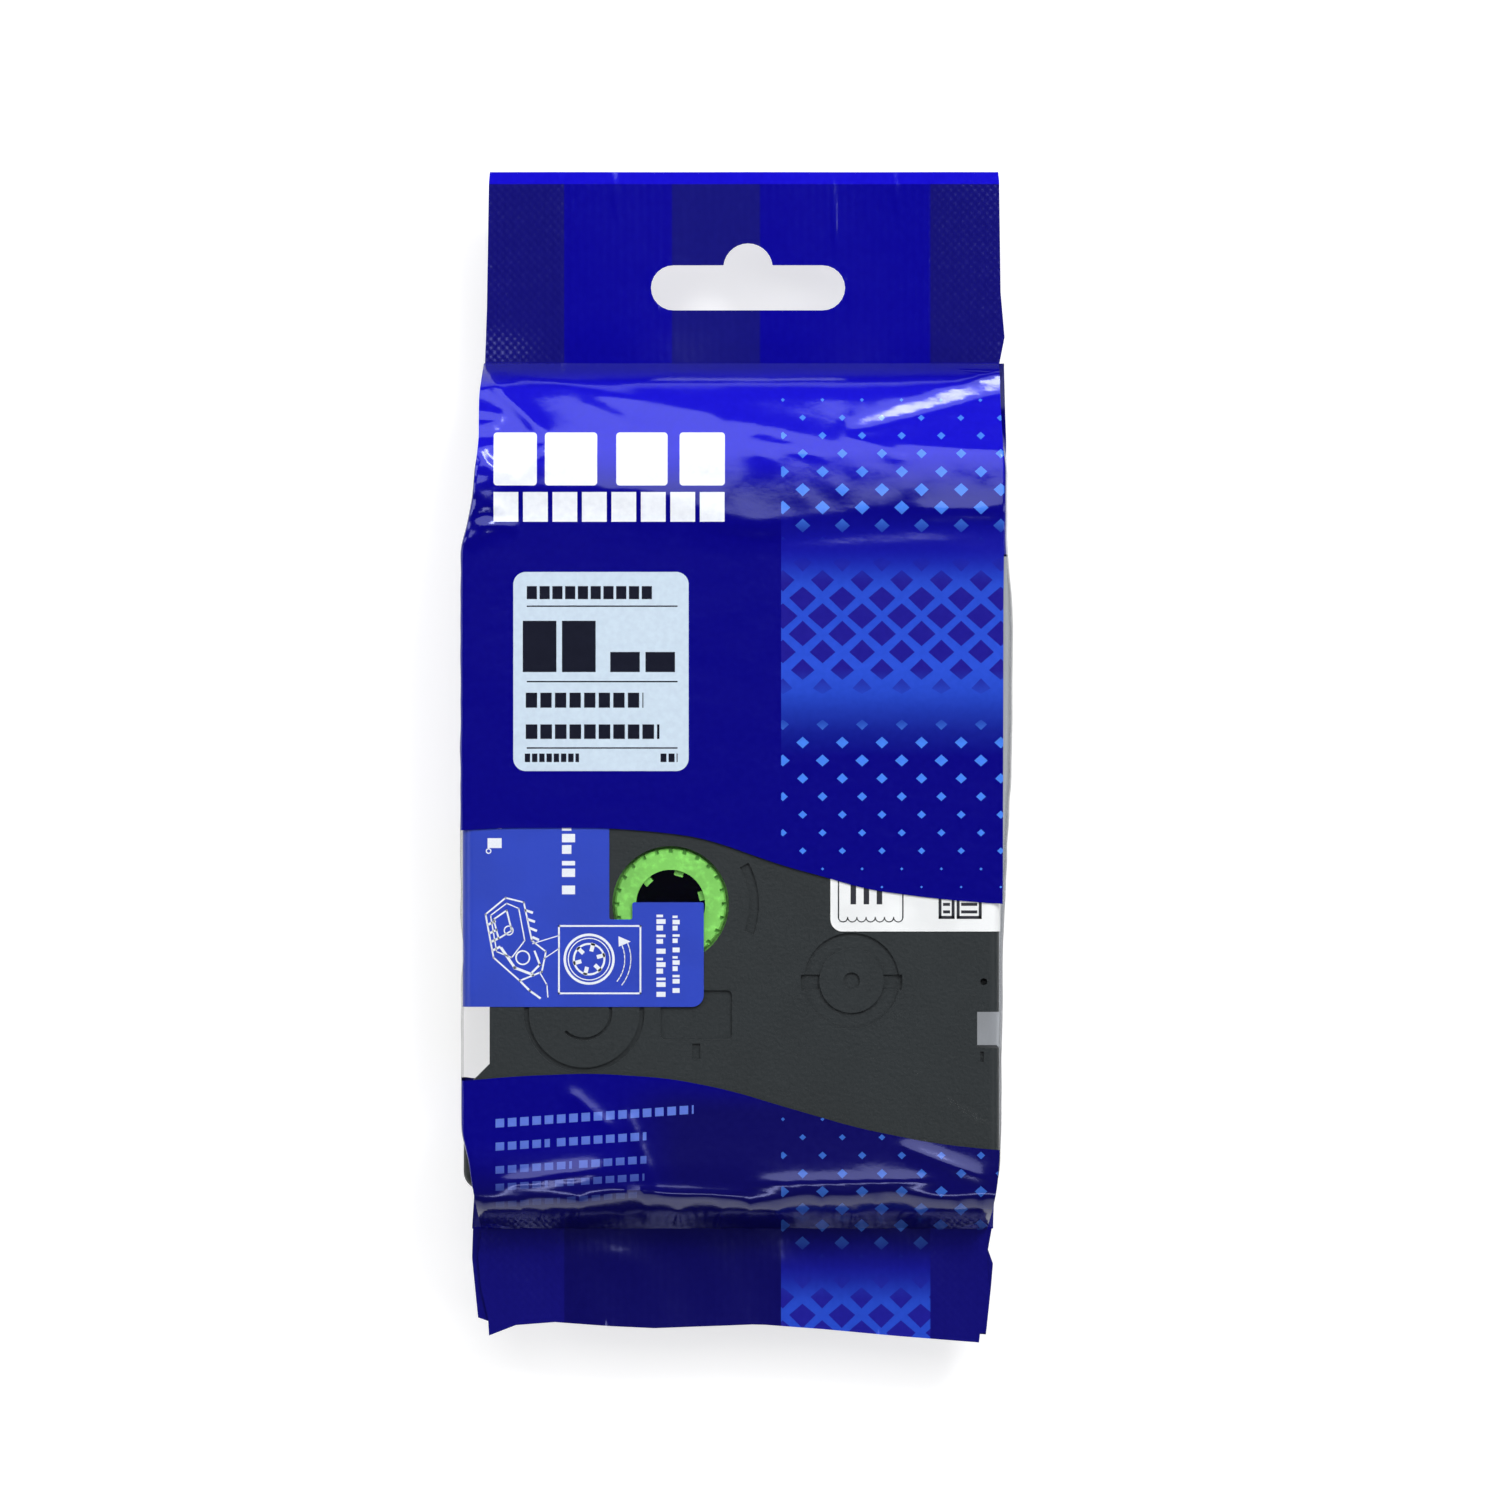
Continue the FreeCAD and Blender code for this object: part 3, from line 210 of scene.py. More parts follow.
def maths(tree, operation, *values):
    """The result of a maths node."""
    return add(tree, "ShaderNodeMath", dict(enumerate(values)), operation=operation).outputs[0]


def times(tree, first, second):
    return maths(tree, "MULTIPLY", first, second)


def plus(tree, first, second):
    return maths(tree, "ADD", first, second)


def less(tree, first, second):
    return maths(tree, "SUBTRACT", first, second)


def larger(tree, first, second):
    return maths(tree, "MAXIMUM", first, second)


def smooth(tree, value, start, stop):
    """0 before start and 1 after stop. A stop below start turns it round."""
    settings = {"Value": value, "From Min": start, "From Max": stop}
    return add(tree, "ShaderNodeMapRange", settings, interpolation_type="SMOOTHSTEP").outputs["Result"]


def mixed(tree, mask, first, second, blend="MIX"):
    """first where the mask is 0, second where it is 1."""
    made = add(tree, "ShaderNodeMix", data_type="RGBA", blend_type=blend)
    for socket, value in ((made.inputs[0], mask), (made.inputs[6], first), (made.inputs[7], second)):
        fill(tree, socket, value)
    return made.outputs[2]


def curve_of(tree, value, span, points):
    """A value read from a smooth curve through points, over 0 to span."""
    share = maths(tree, "DIVIDE", value, span)
    made = add(tree, "ShaderNodeFloatCurve", {"Value": share})
    line = made.mapping.curves[0]
    line.points[0].location = (points[0][0] / span, points[0][1])
    line.points[1].location = (points[-1][0] / span, points[-1][1])
    for place, height in points[1:-1]:
        line.points.new(place / span, height)
    for point in line.points:
        point.handle_type = "VECTOR"
    made.mapping.update()
    return made.outputs[0]


def group(name, inputs, outputs):
    """An empty node group with named inputs and outputs."""
    tree = bpy.data.node_groups.new(name, "ShaderNodeTree")
    for label, kind, value in inputs:
        socket = tree.interface.new_socket(label, in_out="INPUT", socket_type=kind)
        if value is not None:
            socket.default_value = value
    for label, kind in outputs:
        tree.interface.new_socket(label, in_out="OUTPUT", socket_type=kind)
    return tree, tree.nodes.new("NodeGroupInput"), tree.nodes.new("NodeGroupOutput")


def use(tree, shared, inputs):
    """A shared group, placed in a tree with its own values."""
    made = tree.nodes.new("ShaderNodeGroup")
    made.node_tree = shared
    for key, value in inputs.items():
        fill(tree, made.inputs[key], value)
    return made


def place_group():
    """Where a point lies on the object, in millimetres."""
    tree, _, out = group("Place_in_mm", [], [("Place", VECTOR), ("X", FLOAT),
                                             ("Y", FLOAT), ("Z", FLOAT)])
    coordinates = tree.nodes.new("ShaderNodeTexCoord")
    scaled = add(tree, "ShaderNodeVectorMath", {0: coordinates.outputs["Object"]}, operation="SCALE")
    scaled.inputs["Scale"].default_value = 1.0 / MM
    apart = add(tree, "ShaderNodeSeparateXYZ", {0: scaled.outputs[0]})
    tree.links.new(scaled.outputs[0], out.inputs["Place"])
    for axis in "XYZ":
        tree.links.new(apart.outputs[axis], out.inputs[axis])
    return tree


def block_group():
    """A printed block with round corners: a mask of 1 inside it."""
    inputs = [("X", FLOAT, None), ("Y", FLOAT, None), ("Middle X", FLOAT, 0.0),
              ("Middle Y", FLOAT, 0.0), ("Half width", FLOAT, 1.0),
              ("Half height", FLOAT, 1.0), ("Corner", FLOAT, 0.1)]
    tree, given, out = group("Printed_block", inputs, [("Mask", FLOAT)])
    reach = []
    for axis, middle, half in (("X", "Middle X", "Half width"), ("Y", "Middle Y", "Half height")):
        away = maths(tree, "ABSOLUTE", less(tree, given.outputs[axis], given.outputs[middle]))
        straight = less(tree, given.outputs[half], given.outputs["Corner"])
        reach.append(less(tree, away, straight))
    outside = [larger(tree, r, 0.0) for r in reach]
    squares = [times(tree, r, r) for r in outside]
    corner = maths(tree, "SQRT", plus(tree, *squares))
    inner = maths(tree, "MINIMUM", larger(tree, *reach), 0.0)
    edge = plus(tree, corner, inner)
    tree.links.new(maths(tree, "LESS_THAN", edge, given.outputs["Corner"]), out.inputs["Mask"])
    return tree


def row_group():
    """A row of plain marks where the real print has words: blocks of uneven length with small gaps."""
    inputs = [("X", FLOAT, None), ("Y", FLOAT, None), ("Left", FLOAT, 0.0),
              ("Right", FLOAT, 10.0), ("Foot", FLOAT, 0.0), ("Top", FLOAT, 1.0),
              ("Pitch", FLOAT, 1.0), ("Gap", FLOAT, 0.2)]
    tree, given, out = group("Printed_row", inputs, [("Mask", FLOAT)])
    along = less(tree, given.outputs["X"], given.outputs["Left"])
    cells = maths(tree, "DIVIDE", along, given.outputs["Pitch"])
    filled = maths(tree, "LESS_THAN", maths(tree, "FRACT", cells),
                   less(tree, 1.0, given.outputs["Gap"]))
    mask = filled
    for low, high in (("Left", "X"), ("X", "Right"), ("Foot", "Y"), ("Y", "Top")):
        mask = times(tree, mask, maths(tree, "LESS_THAN", given.outputs[low], given.outputs[high]))
    tree.links.new(mask, out.inputs["Mask"])
    return tree


DIAMOND_SPAN = 54.0


def diamond_group():
    """The printed field of diamonds, from small ones to a lattice and back, down a strip of print."""
    inputs = [("X", FLOAT, None), ("Down", FLOAT, None)]
    outputs = [("Diamonds", FLOAT), ("Ground", FLOAT), ("Holes", FLOAT)]
    tree, given, out = group("Diamond_field", inputs, outputs)
    half_pitch, row = 1.97, 1.797
    first_x, first_row = 6.54, 35.1
    across = maths(tree, "DIVIDE", less(tree, given.outputs["X"], first_x), half_pitch)
    down = maths(tree, "DIVIDE", less(tree, given.outputs["Down"], first_row), row)
    away = []
    for diagonal in ("ADD", "SUBTRACT"):
        turned = times(tree, maths(tree, diagonal, across, down), 0.5)
        whole = maths(tree, "ROUND", turned)
        away.append(maths(tree, "ABSOLUTE", less(tree, turned, whole)))
    size = times(tree, larger(tree, *away), 2.0)
    small = curve_of(tree, given.outputs["Down"], DIAMOND_SPAN, [
        (0.0, 0.05), (1.8, 0.15), (5.0, 0.22), (9.0, 0.34), (10.6, 0.38), (15.0, 0.38), (16.5, 0.0),
        (31.6, 0.0), (33.0, 0.30), (37.0, 0.34), (39.0, 0.27), (42.4, 0.22), (46.4, 0.18),
        (47.6, 0.08), (54.0, 0.05)])
    large = curve_of(tree, given.outputs["Down"], DIAMOND_SPAN, [
        (0.0, 0.0), (16.2, 0.0), (17.2, 0.50), (20.7, 0.68), (22.5, 0.75), (24.3, 0.71), (27.9, 0.60),
        (29.8, 0.48), (31.2, 0.0), (54.0, 0.0)])
    lit = maths(tree, "LESS_THAN", size, small)
    strength = plus(tree, smooth(tree, given.outputs["Down"], 15.2, 11.2),
                    smooth(tree, given.outputs["Down"], 32.0, 35.5))
    tree.links.new(times(tree, lit, strength), out.inputs["Diamonds"])
    hole = maths(tree, "LESS_THAN", size, large)
    fade = times(tree, smooth(tree, given.outputs["Down"], 15.8, 19.5),
                 smooth(tree, given.outputs["Down"], 31.5, 27.5))
    tree.links.new(times(tree, hole, fade), out.inputs["Holes"])
    ground = curve_of(tree, given.outputs["Down"], DIAMOND_SPAN, [
        (0.0, 0.0), (12.0, 0.02), (14.4, 0.26), (17.0, 0.5), (19.5, 0.85), (27.5, 1.0), (30.0, 0.8),
        (32.0, 0.42), (34.0, 0.14), (36.5, 0.0), (54.0, 0.0)])
    tree.links.new(ground, out.inputs["Ground"])
    return tree


def grain_group():
    """Fine uneven grain: a height for bumps, and a value that moves colour or gloss a little."""
    inputs = [("Place", VECTOR, None), ("Scale", FLOAT, 1.0), ("Detail", FLOAT, 3.0)]
    tree, given, out = group("Fine_grain", inputs, [("Height", FLOAT), ("Drift", FLOAT)])
    fine = add(tree, "ShaderNodeTexNoise", {"Vector": given.outputs["Place"],
                                            "Scale": given.outputs["Scale"],
                                            "Detail": given.outputs["Detail"]})
    slow_scale = times(tree, given.outputs["Scale"], 0.08)
    slow = add(tree, "ShaderNodeTexNoise", {"Vector": given.outputs["Place"], "Scale": slow_scale,
                                            "Detail": 2.0})
    tree.links.new(fine.outputs["Fac"], out.inputs["Height"])
    tree.links.new(slow.outputs["Fac"], out.inputs["Drift"])
    return tree


def film_group():
    """The film's own surface: soft waves, fine cockles and the crimped ribs of its two seals."""
    tree, given, out = group("Packing_film", [], [("Height", FLOAT), ("Drift", FLOAT)])
    place = use(tree, SHARED["place"], {})
    stretch = add(tree, "ShaderNodeVectorMath", {0: place.outputs["Place"], 1: (0.55, 1.0, 1.0)},
                  operation="MULTIPLY")
    waves = add(tree, "ShaderNodeTexNoise", {"Vector": stretch.outputs[0], "Scale": 0.30, "Detail": 2.0})
    cockles = add(tree, "ShaderNodeTexNoise", {"Vector": place.outputs["Place"], "Scale": 1.6,
                                               "Detail": 4.0})
    ribs = maths(tree, "SINE", times(tree, place.outputs["X"], 2 * math.pi / CRIMP_PITCH))
    knurl = maths(tree, "SINE", times(tree, place.outputs["Y"], 2 * math.pi / KNURL_PITCH))
    left = smooth(tree, place.outputs["X"], -17.3, -17.5)
    right = smooth(tree, place.outputs["X"], 19.2, 19.4)
    bands = plus(tree, left, right)
    dots = times(tree, times(tree, ribs, knurl), bands)
    plain = times(tree, ribs, less(tree, 0.5, times(tree, bands, 0.3)))
    upper = times(tree, smooth(tree, place.outputs["Y"], 39.3, 40.0),
                  smooth(tree, place.outputs["Y"], 57.4, 57.2))
    lower = smooth(tree, place.outputs["Y"], -47.0, -47.8)
    seals = plus(tree, upper, lower)
    crimp = times(tree, plus(tree, dots, plain), seals)
    height = plus(tree, times(tree, waves.outputs["Fac"], 0.12),
                  times(tree, cockles.outputs["Fac"], 0.03))
    height = plus(tree, height, times(tree, crimp, 0.022))
    tree.links.new(height, out.inputs["Height"])
    tree.links.new(cockles.outputs["Fac"], out.inputs["Drift"])
    return tree


SHARED = {}


def material(name, roughness=0.5, **settings):
    """A new material with its Principled shader's plain settings."""
    made = bpy.data.materials.new(name)
    made.use_nodes = True
    tree = made.node_tree
    shader = tree.nodes["Principled BSDF"]
    shader.inputs["Roughness"].default_value = roughness
    for key, value in settings.items():
        shader.inputs[key.replace("_", " ")].default_value = value
    return made, tree, shader


def bumped(tree, shader, height, depth):
    """Heights in millimetres times depth become a bump of the shader's surface."""
    made = add(tree, "ShaderNodeBump", {"Height": height, "Distance": depth * MM, "Strength": 1.0})
    tree.links.new(made.outputs["Normal"], shader.inputs["Normal"])


def grain_of(tree, scale):
    """The fine grain of a finish, at its own scale."""
    place = use(tree, SHARED["place"], {})
    return use(tree, SHARED["grain"], {"Place": place.outputs["Place"], "Scale": scale})


def film_piece(made):
    """A piece of the pack's film, which stands for the film pack's solid."""
    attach(made, "root")
    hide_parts("film_pack")


# Print on the film


def block_mask(tree, x, y, middle, half, corner):
    """1 inside a printed block with round corners."""
    return use(tree, SHARED["block"], {
        "X": x, "Y": y, "Middle X": middle[0], "Middle Y": middle[1], "Half width": half[0],
        "Half height": half[1], "Corner": corner}).outputs["Mask"]


def row_mask(tree, x, y, span, rise, pitch, gap):
    """1 on the marks of a printed row."""
    return use(tree, SHARED["row"], {
        "X": x, "Y": y, "Left": span[0], "Right": span[1], "Foot": rise[0], "Top": rise[1],
        "Pitch": pitch, "Gap": gap}).outputs["Mask"]


def title_marks(tree, x, y):
    """Plain white blocks where the real print has its two rows of large words."""
    blocks = [(-24.2, -19.9), (-19.1, -13.9), (-12.0, -6.9), (-5.7, -1.2)]
    masks = [block_mask(tree, x, y, ((left + right) / 2, 29.7), ((right - left) / 2, 2.65), 0.35)
             for left, right in blocks]
    return masks + [row_mask(tree, x, y, (-24.2, -1.05), (23.45, 26.4), 2.93, 0.16)]


def panel_marks(tree, x, y):
    """Dark rows and rules on the pale panel."""
    rows = [((-20.9, -8.2), (15.75, 17.05), 1.27, 0.2), ((-21.3, -13.8), (8.5, 13.6), 3.9, 0.14),
            ((-12.6, -5.9), (8.5, 10.5), 3.5, 0.16), ((-21.0, -9.3), (4.95, 6.45), 1.45, 0.22),
            ((-21.0, -7.7), (1.85, 3.3), 1.45, 0.2), ((-21.1, -15.7), (-0.45, 0.4), 0.72, 0.25),
            ((-7.6, -5.9), (-0.45, 0.4), 0.8, 0.25)]
    rules = [block_mask(tree, x, y, (-13.4, level), (7.5, 0.07), 0.02) for level in (15.05, 7.55, 0.95)]
    return [row_mask(tree, x, y, *row) for row in rows] + rules


def foot_marks(tree, x, y):
    """Five fading rows below the window, which climb a little to the right."""
    climb = 0.07
    tilted = less(tree, y, times(tree, plus(tree, x, 24.0), climb))
    rows = [((-24.0, -4.3), (-36.8, -35.95)),
            ((-24.0, -18.6), (-39.1, -38.3)), ((-17.9, -9.0), (-39.1, -38.3)),
            ((-24.0, -16.4), (-41.4, -40.65)), ((-15.7, -9.0), (-41.4, -40.65)),
            ((-24.0, -18.8), (-43.1, -42.4)), ((-18.1, -16.2), (-43.1, -42.4)), ((-15.5, -9.2), (-43.1, -42.4)),
            ((-24.0, -17.6), (-44.8, -44.2)), ((-16.9, -9.6), (-44.8, -44.2))]
    return [row_mask(tree, x, tilted, span, rise, 1.22, 0.3) for span, rise in rows]


def any_of(tree, masks):
    whole = masks[0]
    for mask in masks[1:]:
        whole = larger(tree, whole, mask)
    return whole


def front_print_colour(tree, x, y):
    """Everything printed on the front film, in order from the ground up."""
    colour = mixed(tree, smooth(tree, y, 36.0, 39.5), linear(PRINT_BLUE), linear(HEADER_BLUE))
    low = larger(tree, smooth(tree, y, -38.0, -45.0),
                 times(tree, smooth(tree, y, -31.0, -35.5), smooth(tree, x, -14.0, -5.0)))
    colour = mixed(tree, low, colour, linear(FOOT_BLUE))
    # Painted light: the same ink is made lighter over the shoulder, whose slope takes the lamps' light; no case
    # lies behind it there
    shoulder_painted_light = times(tree, smooth(tree, y, 25.5, 30.5), smooth(tree, y, 39.2, 36.5))
    colour = mixed(tree, shoulder_painted_light, colour, linear(SHOULDER_PAINTED_LIGHT_BLUE))
    strip = maths(tree, "GREATER_THAN", x, 4.4)
    for start, stop, strength in ((36.6, -15.5, 1.0), (-35.0, -60.0, 0.55)):
        down = less(tree, start, y)
        field = use(tree, SHARED["diamond"], {"X": x, "Down": down})
        inside = times(tree, strip, maths(tree, "GREATER_THAN", y, stop))
        inside = times(tree, inside, maths(tree, "LESS_THAN", y, start + 0.5))
        full = smooth(tree, y, -46.5, -51.5)
        share = larger(tree, times(tree, full, 0.95), strength)
        inside = times(tree, inside, share)
        ground = mixed(tree, smooth(tree, down, 15.5, 20.0), linear(PATTERN_GROUND), linear(LATTICE_BLUE))
        colour = mixed(tree, times(tree, inside, field.outputs["Ground"]), colour, ground)
        colour = mixed(tree, times(tree, inside, field.outputs["Holes"]), colour, linear(HOLE_BLUE))
        colour = mixed(tree, times(tree, inside, field.outputs["Diamonds"]), colour,
                       linear(DIAMOND_BLUE))
    colour = mixed(tree, any_of(tree, title_marks(tree, x, y)), colour, linear(TITLE_WHITE))
    panel = block_mask(tree, x, y, (-13.52, 8.56), (8.72, 9.9), 1.25)
    colour = mixed(tree, panel, colour, linear(PANEL_PALE))
    colour = mixed(tree, any_of(tree, panel_marks(tree, x, y)), colour, linear(INK))
    fading = times(tree, any_of(tree, foot_marks(tree, x, y)), smooth(tree, y, -47.0, -36.0))
    return mixed(tree, fading, colour, linear(FOOT_TEXT_BLUE))


def seal_colour(tree, x, y, colour):
    """Darker bands at the gussets and where the fin seal lies behind, and a bright top strip."""
    seals = plus(tree, smooth(tree, y, 39.2, 39.6), smooth(tree, y, -46.9, -47.3))
    bands = plus(tree, smooth(tree, x, -17.2, -17.35), smooth(tree, x, 19.25, 19.4))
    colour = mixed(tree, times(tree, bands, seals), colour, linear(GUSSET_BLUE))
    behind = times(tree, smooth(tree, x, -6.6, -6.4), smooth(tree, x, 2.4, 2.2))
    colour = mixed(tree, times(tree, behind, smooth(tree, y, 39.2, 39.6)), colour, linear(FIN_BLUE))
    return mixed(tree, smooth(tree, y, 57.25, 57.35), colour, linear(EDGE_BLUE))


def printed_film(name, front):
    made, tree, shader = material(name, roughness=0.16, Specular_IOR_Level=0.7,
                                  Specular_Tint=(0.52, 0.56, 1.0, 1.0))
    place = use(tree, SHARED["place"], {})
    x, y = place.outputs["X"], place.outputs["Y"]
    if front:
        colour = front_print_colour(tree, x, y)
    else:
        colour = mixed(tree, smooth(tree, y, 36.0, 39.5), linear(PRINT_BLUE), linear(HEADER_BLUE))
    colour = seal_colour(tree, x, y, colour)
    film = use(tree, SHARED["film"], {})
    drift = smooth(tree, film.outputs["Drift"], 0.2, 0.8)
    shade = mixed(tree, drift, (0.9, 0.9, 0.92, 1.0), (1.0, 1.0, 1.0, 1.0))
    tinted = mixed(tree, 1.0, colour, shade, "MULTIPLY")
    tree.links.new(tinted, shader.inputs["Base Color"])
    gloss = add(tree, "ShaderNodeMapRange", {"Value": film.outputs["Drift"], "To Min": 0.10, "To Max": 0.2})
    tree.links.new(gloss.outputs["Result"], shader.inputs["Roughness"])
    bumped(tree, shader, film.outputs["Height"], 0.35)
    return made


def clear_film(name, through_colour):
    """Unprinted film: what is behind it shows, under the film's own reflections."""
    made = bpy.data.materials.new(name)
    made.use_nodes = True
    tree = made.node_tree
    tree.nodes.clear()
    film = use(tree, SHARED["film"], {})
    bump = add(tree, "ShaderNodeBump", {"Height": film.outputs["Height"], "Distance": 0.3 * MM})
    gloss = add(tree, "ShaderNodeBsdfPrincipled", {"Base Color": (0.02, 0.02, 0.025, 1.0), "Roughness": 0.1,
                                                   "Normal": bump.outputs["Normal"]})
    through = add(tree, "ShaderNodeBsdfTransparent", {"Color": through_colour})
    facing = add(tree, "ShaderNodeLayerWeight", {"Blend": 0.5})
    grazing = maths(tree, "POWER", facing.outputs["Facing"], 5.0)
    share = plus(tree, times(tree, grazing, 0.9), 0.045)
    both = add(tree, "ShaderNodeMixShader", {0: share, 1: through.outputs[0], 2: gloss.outputs[0]})
    out = add(tree, "ShaderNodeOutputMaterial", {"Surface": both.outputs[0]})
    out.is_active_output = True
    return made


# Finishes of the pieces inside


def moulded_plastic(name, colour, roughness=0.5, grain=3.0, depth=0.02, bright=1.18, **settings):
    made, tree, shader = material(name, roughness, **settings)
    fine = grain_of(tree, grain)
    base = linear(colour)
    light = tuple(min(1.0, c * bright) for c in base[:3]) + (1.0,)
    mask = smooth(tree, fine.outputs["Drift"], 0.3, 0.7)
    speckle = times(tree, smooth(tree, fine.outputs["Height"], 0.45, 0.75), 0.5)
    shade = mixed(tree, plus(tree, times(tree, mask, 0.5), speckle), base, light)
    tree.links.new(shade, shader.inputs["Base Color"])
    gloss = add(tree, "ShaderNodeMapRange", {"Value": fine.outputs["Height"], "To Min": roughness - 0.08,
                                             "To Max": roughness + 0.1})
    tree.links.new(gloss.outputs["Result"], shader.inputs["Roughness"])
    bumped(tree, shader, fine.outputs["Height"], depth)
    return made


def wound_tape(name, colour, core, edge, pitch=0.22, **settings):
    """A wound roll: fine turns on its flat faces, and a smooth round side."""
    made, tree, shader = material(name, 0.35, **settings)
    place = use(tree, SHARED["place"], {})
    centre = (core[0] / MM, core[1] / MM, 0.0)
    away = add(tree, "ShaderNodeVectorMath", {0: place.outputs["Place"], 1: centre}, operation="SUBTRACT")
    flat = add(tree, "ShaderNodeVectorMath", {0: away.outputs[0], 1: (1.0, 1.0, 0.0)}, operation="MULTIPLY")
    radius = add(tree, "ShaderNodeVectorMath", {0: flat.outputs[0]}, operation="LENGTH").outputs["Value"]
    turn = maths(tree, "FRACT", maths(tree, "DIVIDE", radius, pitch))
    line = smooth(tree, maths(tree, "ABSOLUTE", less(tree, turn, 0.5)), 0.3, 0.5)
    colour_of = mixed(tree, line, linear(colour), linear(edge))
    tree.links.new(colour_of, shader.inputs["Base Color"])
    bumped(tree, shader, line, -0.03)
    return made


def label_paper(name, colour):
    made, tree, shader = material(name, 0.38, Specular_IOR_Level=0.4)
    fibre = grain_of(tree, 2.2)
    base = linear(colour)
    dull = tuple(c * 0.9 for c in base[:3]) + (1.0,)
    tree.links.new(mixed(tree, smooth(tree, fibre.outputs["Drift"], 0.35, 0.7), base, dull),
                   shader.inputs["Base Color"])
    bumped(tree, shader, fibre.outputs["Height"], 0.012)
    return made


def spring_steel():
    made, tree, shader = material("spring_steel_wire", 0.28, Metallic=1.0)
    drawn = grain_of(tree, 9.0)
    tree.links.new(mixed(tree, drawn.outputs["Height"], (0.48, 0.49, 0.5, 1.0), (0.68, 0.69, 0.7, 1.0)),
                   shader.inputs["Base Color"])
    bumped(tree, shader, drawn.outputs["Height"], 0.01)
    return made


def ink_mark(name, colour, roughness=0.42):
    made, tree, shader = material(name, roughness)
    fine = grain_of(tree, 5.0)
    base = linear(colour)
    dull = tuple(c * 0.88 for c in base[:3]) + (1.0,)
    tree.links.new(mixed(tree, fine.outputs["Height"], base, dull), shader.inputs["Base Color"])
    return made


# Film shape


def along(points, place):
    """Values between the points of a list, which runs down from the top of the pack."""
    ups = np.array([p[0] for p in points][::-1])
    values = np.array([p[1] for p in points][::-1])
    return np.interp(place, ups, values)


def eased(points, place, reach):
    """The same, with its corners rounded over a short reach."""
    steps = np.linspace(-reach, reach, 7)
    return sum(along(points, place + step) for step in steps) / len(steps)


def across(points, x):
    """Values along a list that runs from left to right."""
    return np.interp(x, [p[0] for p in points], [p[1] for p in points])


def window_edge(points, x, reach=2.2):
    steps = np.linspace(-reach, reach, 9)
    return sum(across(points, x + step) for step in steps) / len(steps)


def fold_height(x, y, start, stop, width, height):
    """A crease: highest along its line, gone at its ends, sharper on its crest than at its foot."""
    (x0, y0), (x1, y1) = start, stop
    length = math.hypot(x1 - x0, y1 - y0)
    ux, uy = (x1 - x0) / length, (y1 - y0) / length
    run = (x - x0) * ux + (y - y0) * uy
    off = np.abs((x - x0) * uy - (y - y0) * ux)
    taper = np.clip(np.minimum(run, length - run) / (0.3 * length) + 0.25, 0.0, 1.0)
    return height * np.exp(-(off / width) ** 1.4) * taper * taper * (3 - 2 * taper)


def soft_noise(x, y, scale, seed):
    """Smooth noise from -1 to 1 over arrays of places."""
    pairs = zip(x.ravel(), y.ravel())
    flat = np.array([noise.noise(Vector((u * scale, v * scale, seed))) for u, v in pairs])
    return flat.reshape(x.shape)


def line_at(line, x):
    (x0, y0), (x1, y1) = line
    return y0 + (y1 - y0) * (x - x0) / (x1 - x0)


def dent(x, y):
    """The steep mouth at the right shoulder and the roll of film above it that takes the light."""
    foot, mouth, roll = (line_at(line, x) for line in (DENT_FOOT, DENT_MOUTH, DENT_ROLL))
    foot = np.minimum(foot, mouth)
    depth = np.zeros_like(x)
    for low, high, slope in ((foot, mouth, MOUTH_SLOPE), (mouth, roll, ROLL_SLOPE)):
        top = np.clip(y, low, high)
        fall = along(FRONT_RISE, low) - along(FRONT_RISE, top)
        depth = depth + slope * (top - low) - fall
    fade = np.clip((DENT_END - y) / np.maximum(DENT_END - roll, 0.1), 0.0, 1.0)
    return np.where(x > DENT_ROLL[0][0], -depth * fade, 0.0)


def crest_lift(x, y):
    """How far slack lifts the film over the case's upper end."""
    crest = window_edge(CREST, x)
    rise = CREST_RISE * (0.45 + 0.55 * (CREST_END - crest) / CREST_REACH)
    upper = np.clip((CREST_END - y) / (CREST_END - crest), 0.0, 1.0)
    lower = np.clip(1.0 - (crest - y) / CREST_FALL, 0.0, 1.0)
    return rise * np.where(y > crest, upper, lower * lower * (3 - 2 * lower))


def front_height(x, y, rough):
    """The front film's level over the case, with its folds."""
    at_foot = np.clip((-41.0 - y) / 2.0, 0.0, 1.0) * np.clip((y - FOOT_TOP) / 2.0, 0.0, 1.0)
    sag = at_foot * (0.40 + 0.28 * np.sin(0.27 * x + 1.2) + 0.16 * np.sin(0.71 * x))
    z = eased(FRONT_RISE, y + sag, 0.4) + crest_lift(x, y) + dent(x, y)
    for start, stop, width, height in FOLDS:
        z = z + fold_height(x, y, start, stop, width, height)
    for i in range(LEFT_PUCKERS):
        level = 38.5 - 1.9 * i
        lean = 0.8 * math.sin(2.3 * i)
        end = (-22.6 + 0.9 * math.sin(1.7 * i), level + lean)
        z = z + fold_height(x, y, (-26.6, level), end, 0.45, 0.28)
    for i in range(FOOT_PUCKERS):
        side = -25.5 + 3.35 * i
        lean = 0.9 * math.sin(1.9 * i + 0.4)
        end = (side + lean, -44.2 + 0.7 * math.sin(2.7 * i))
        z = z + fold_height(x, y, (side, -47.6), end, 0.5, 0.34)
    slope = np.clip((y - 21.0) / 6.0, 0.0, 1.0) + np.clip((-40.0 - y) / 3.0, 0.0, 1.0)
    z = z + rough * (0.03 + 0.12 * slope)
    over_case = np.clip(np.minimum(CASE_TOP + 0.5 - y, y - CASE_FOOT + 0.5) / 0.5, 0.0, 1.0)
    return np.minimum(np.maximum(z, FILM_UNDER * over_case), FILM_OVER)


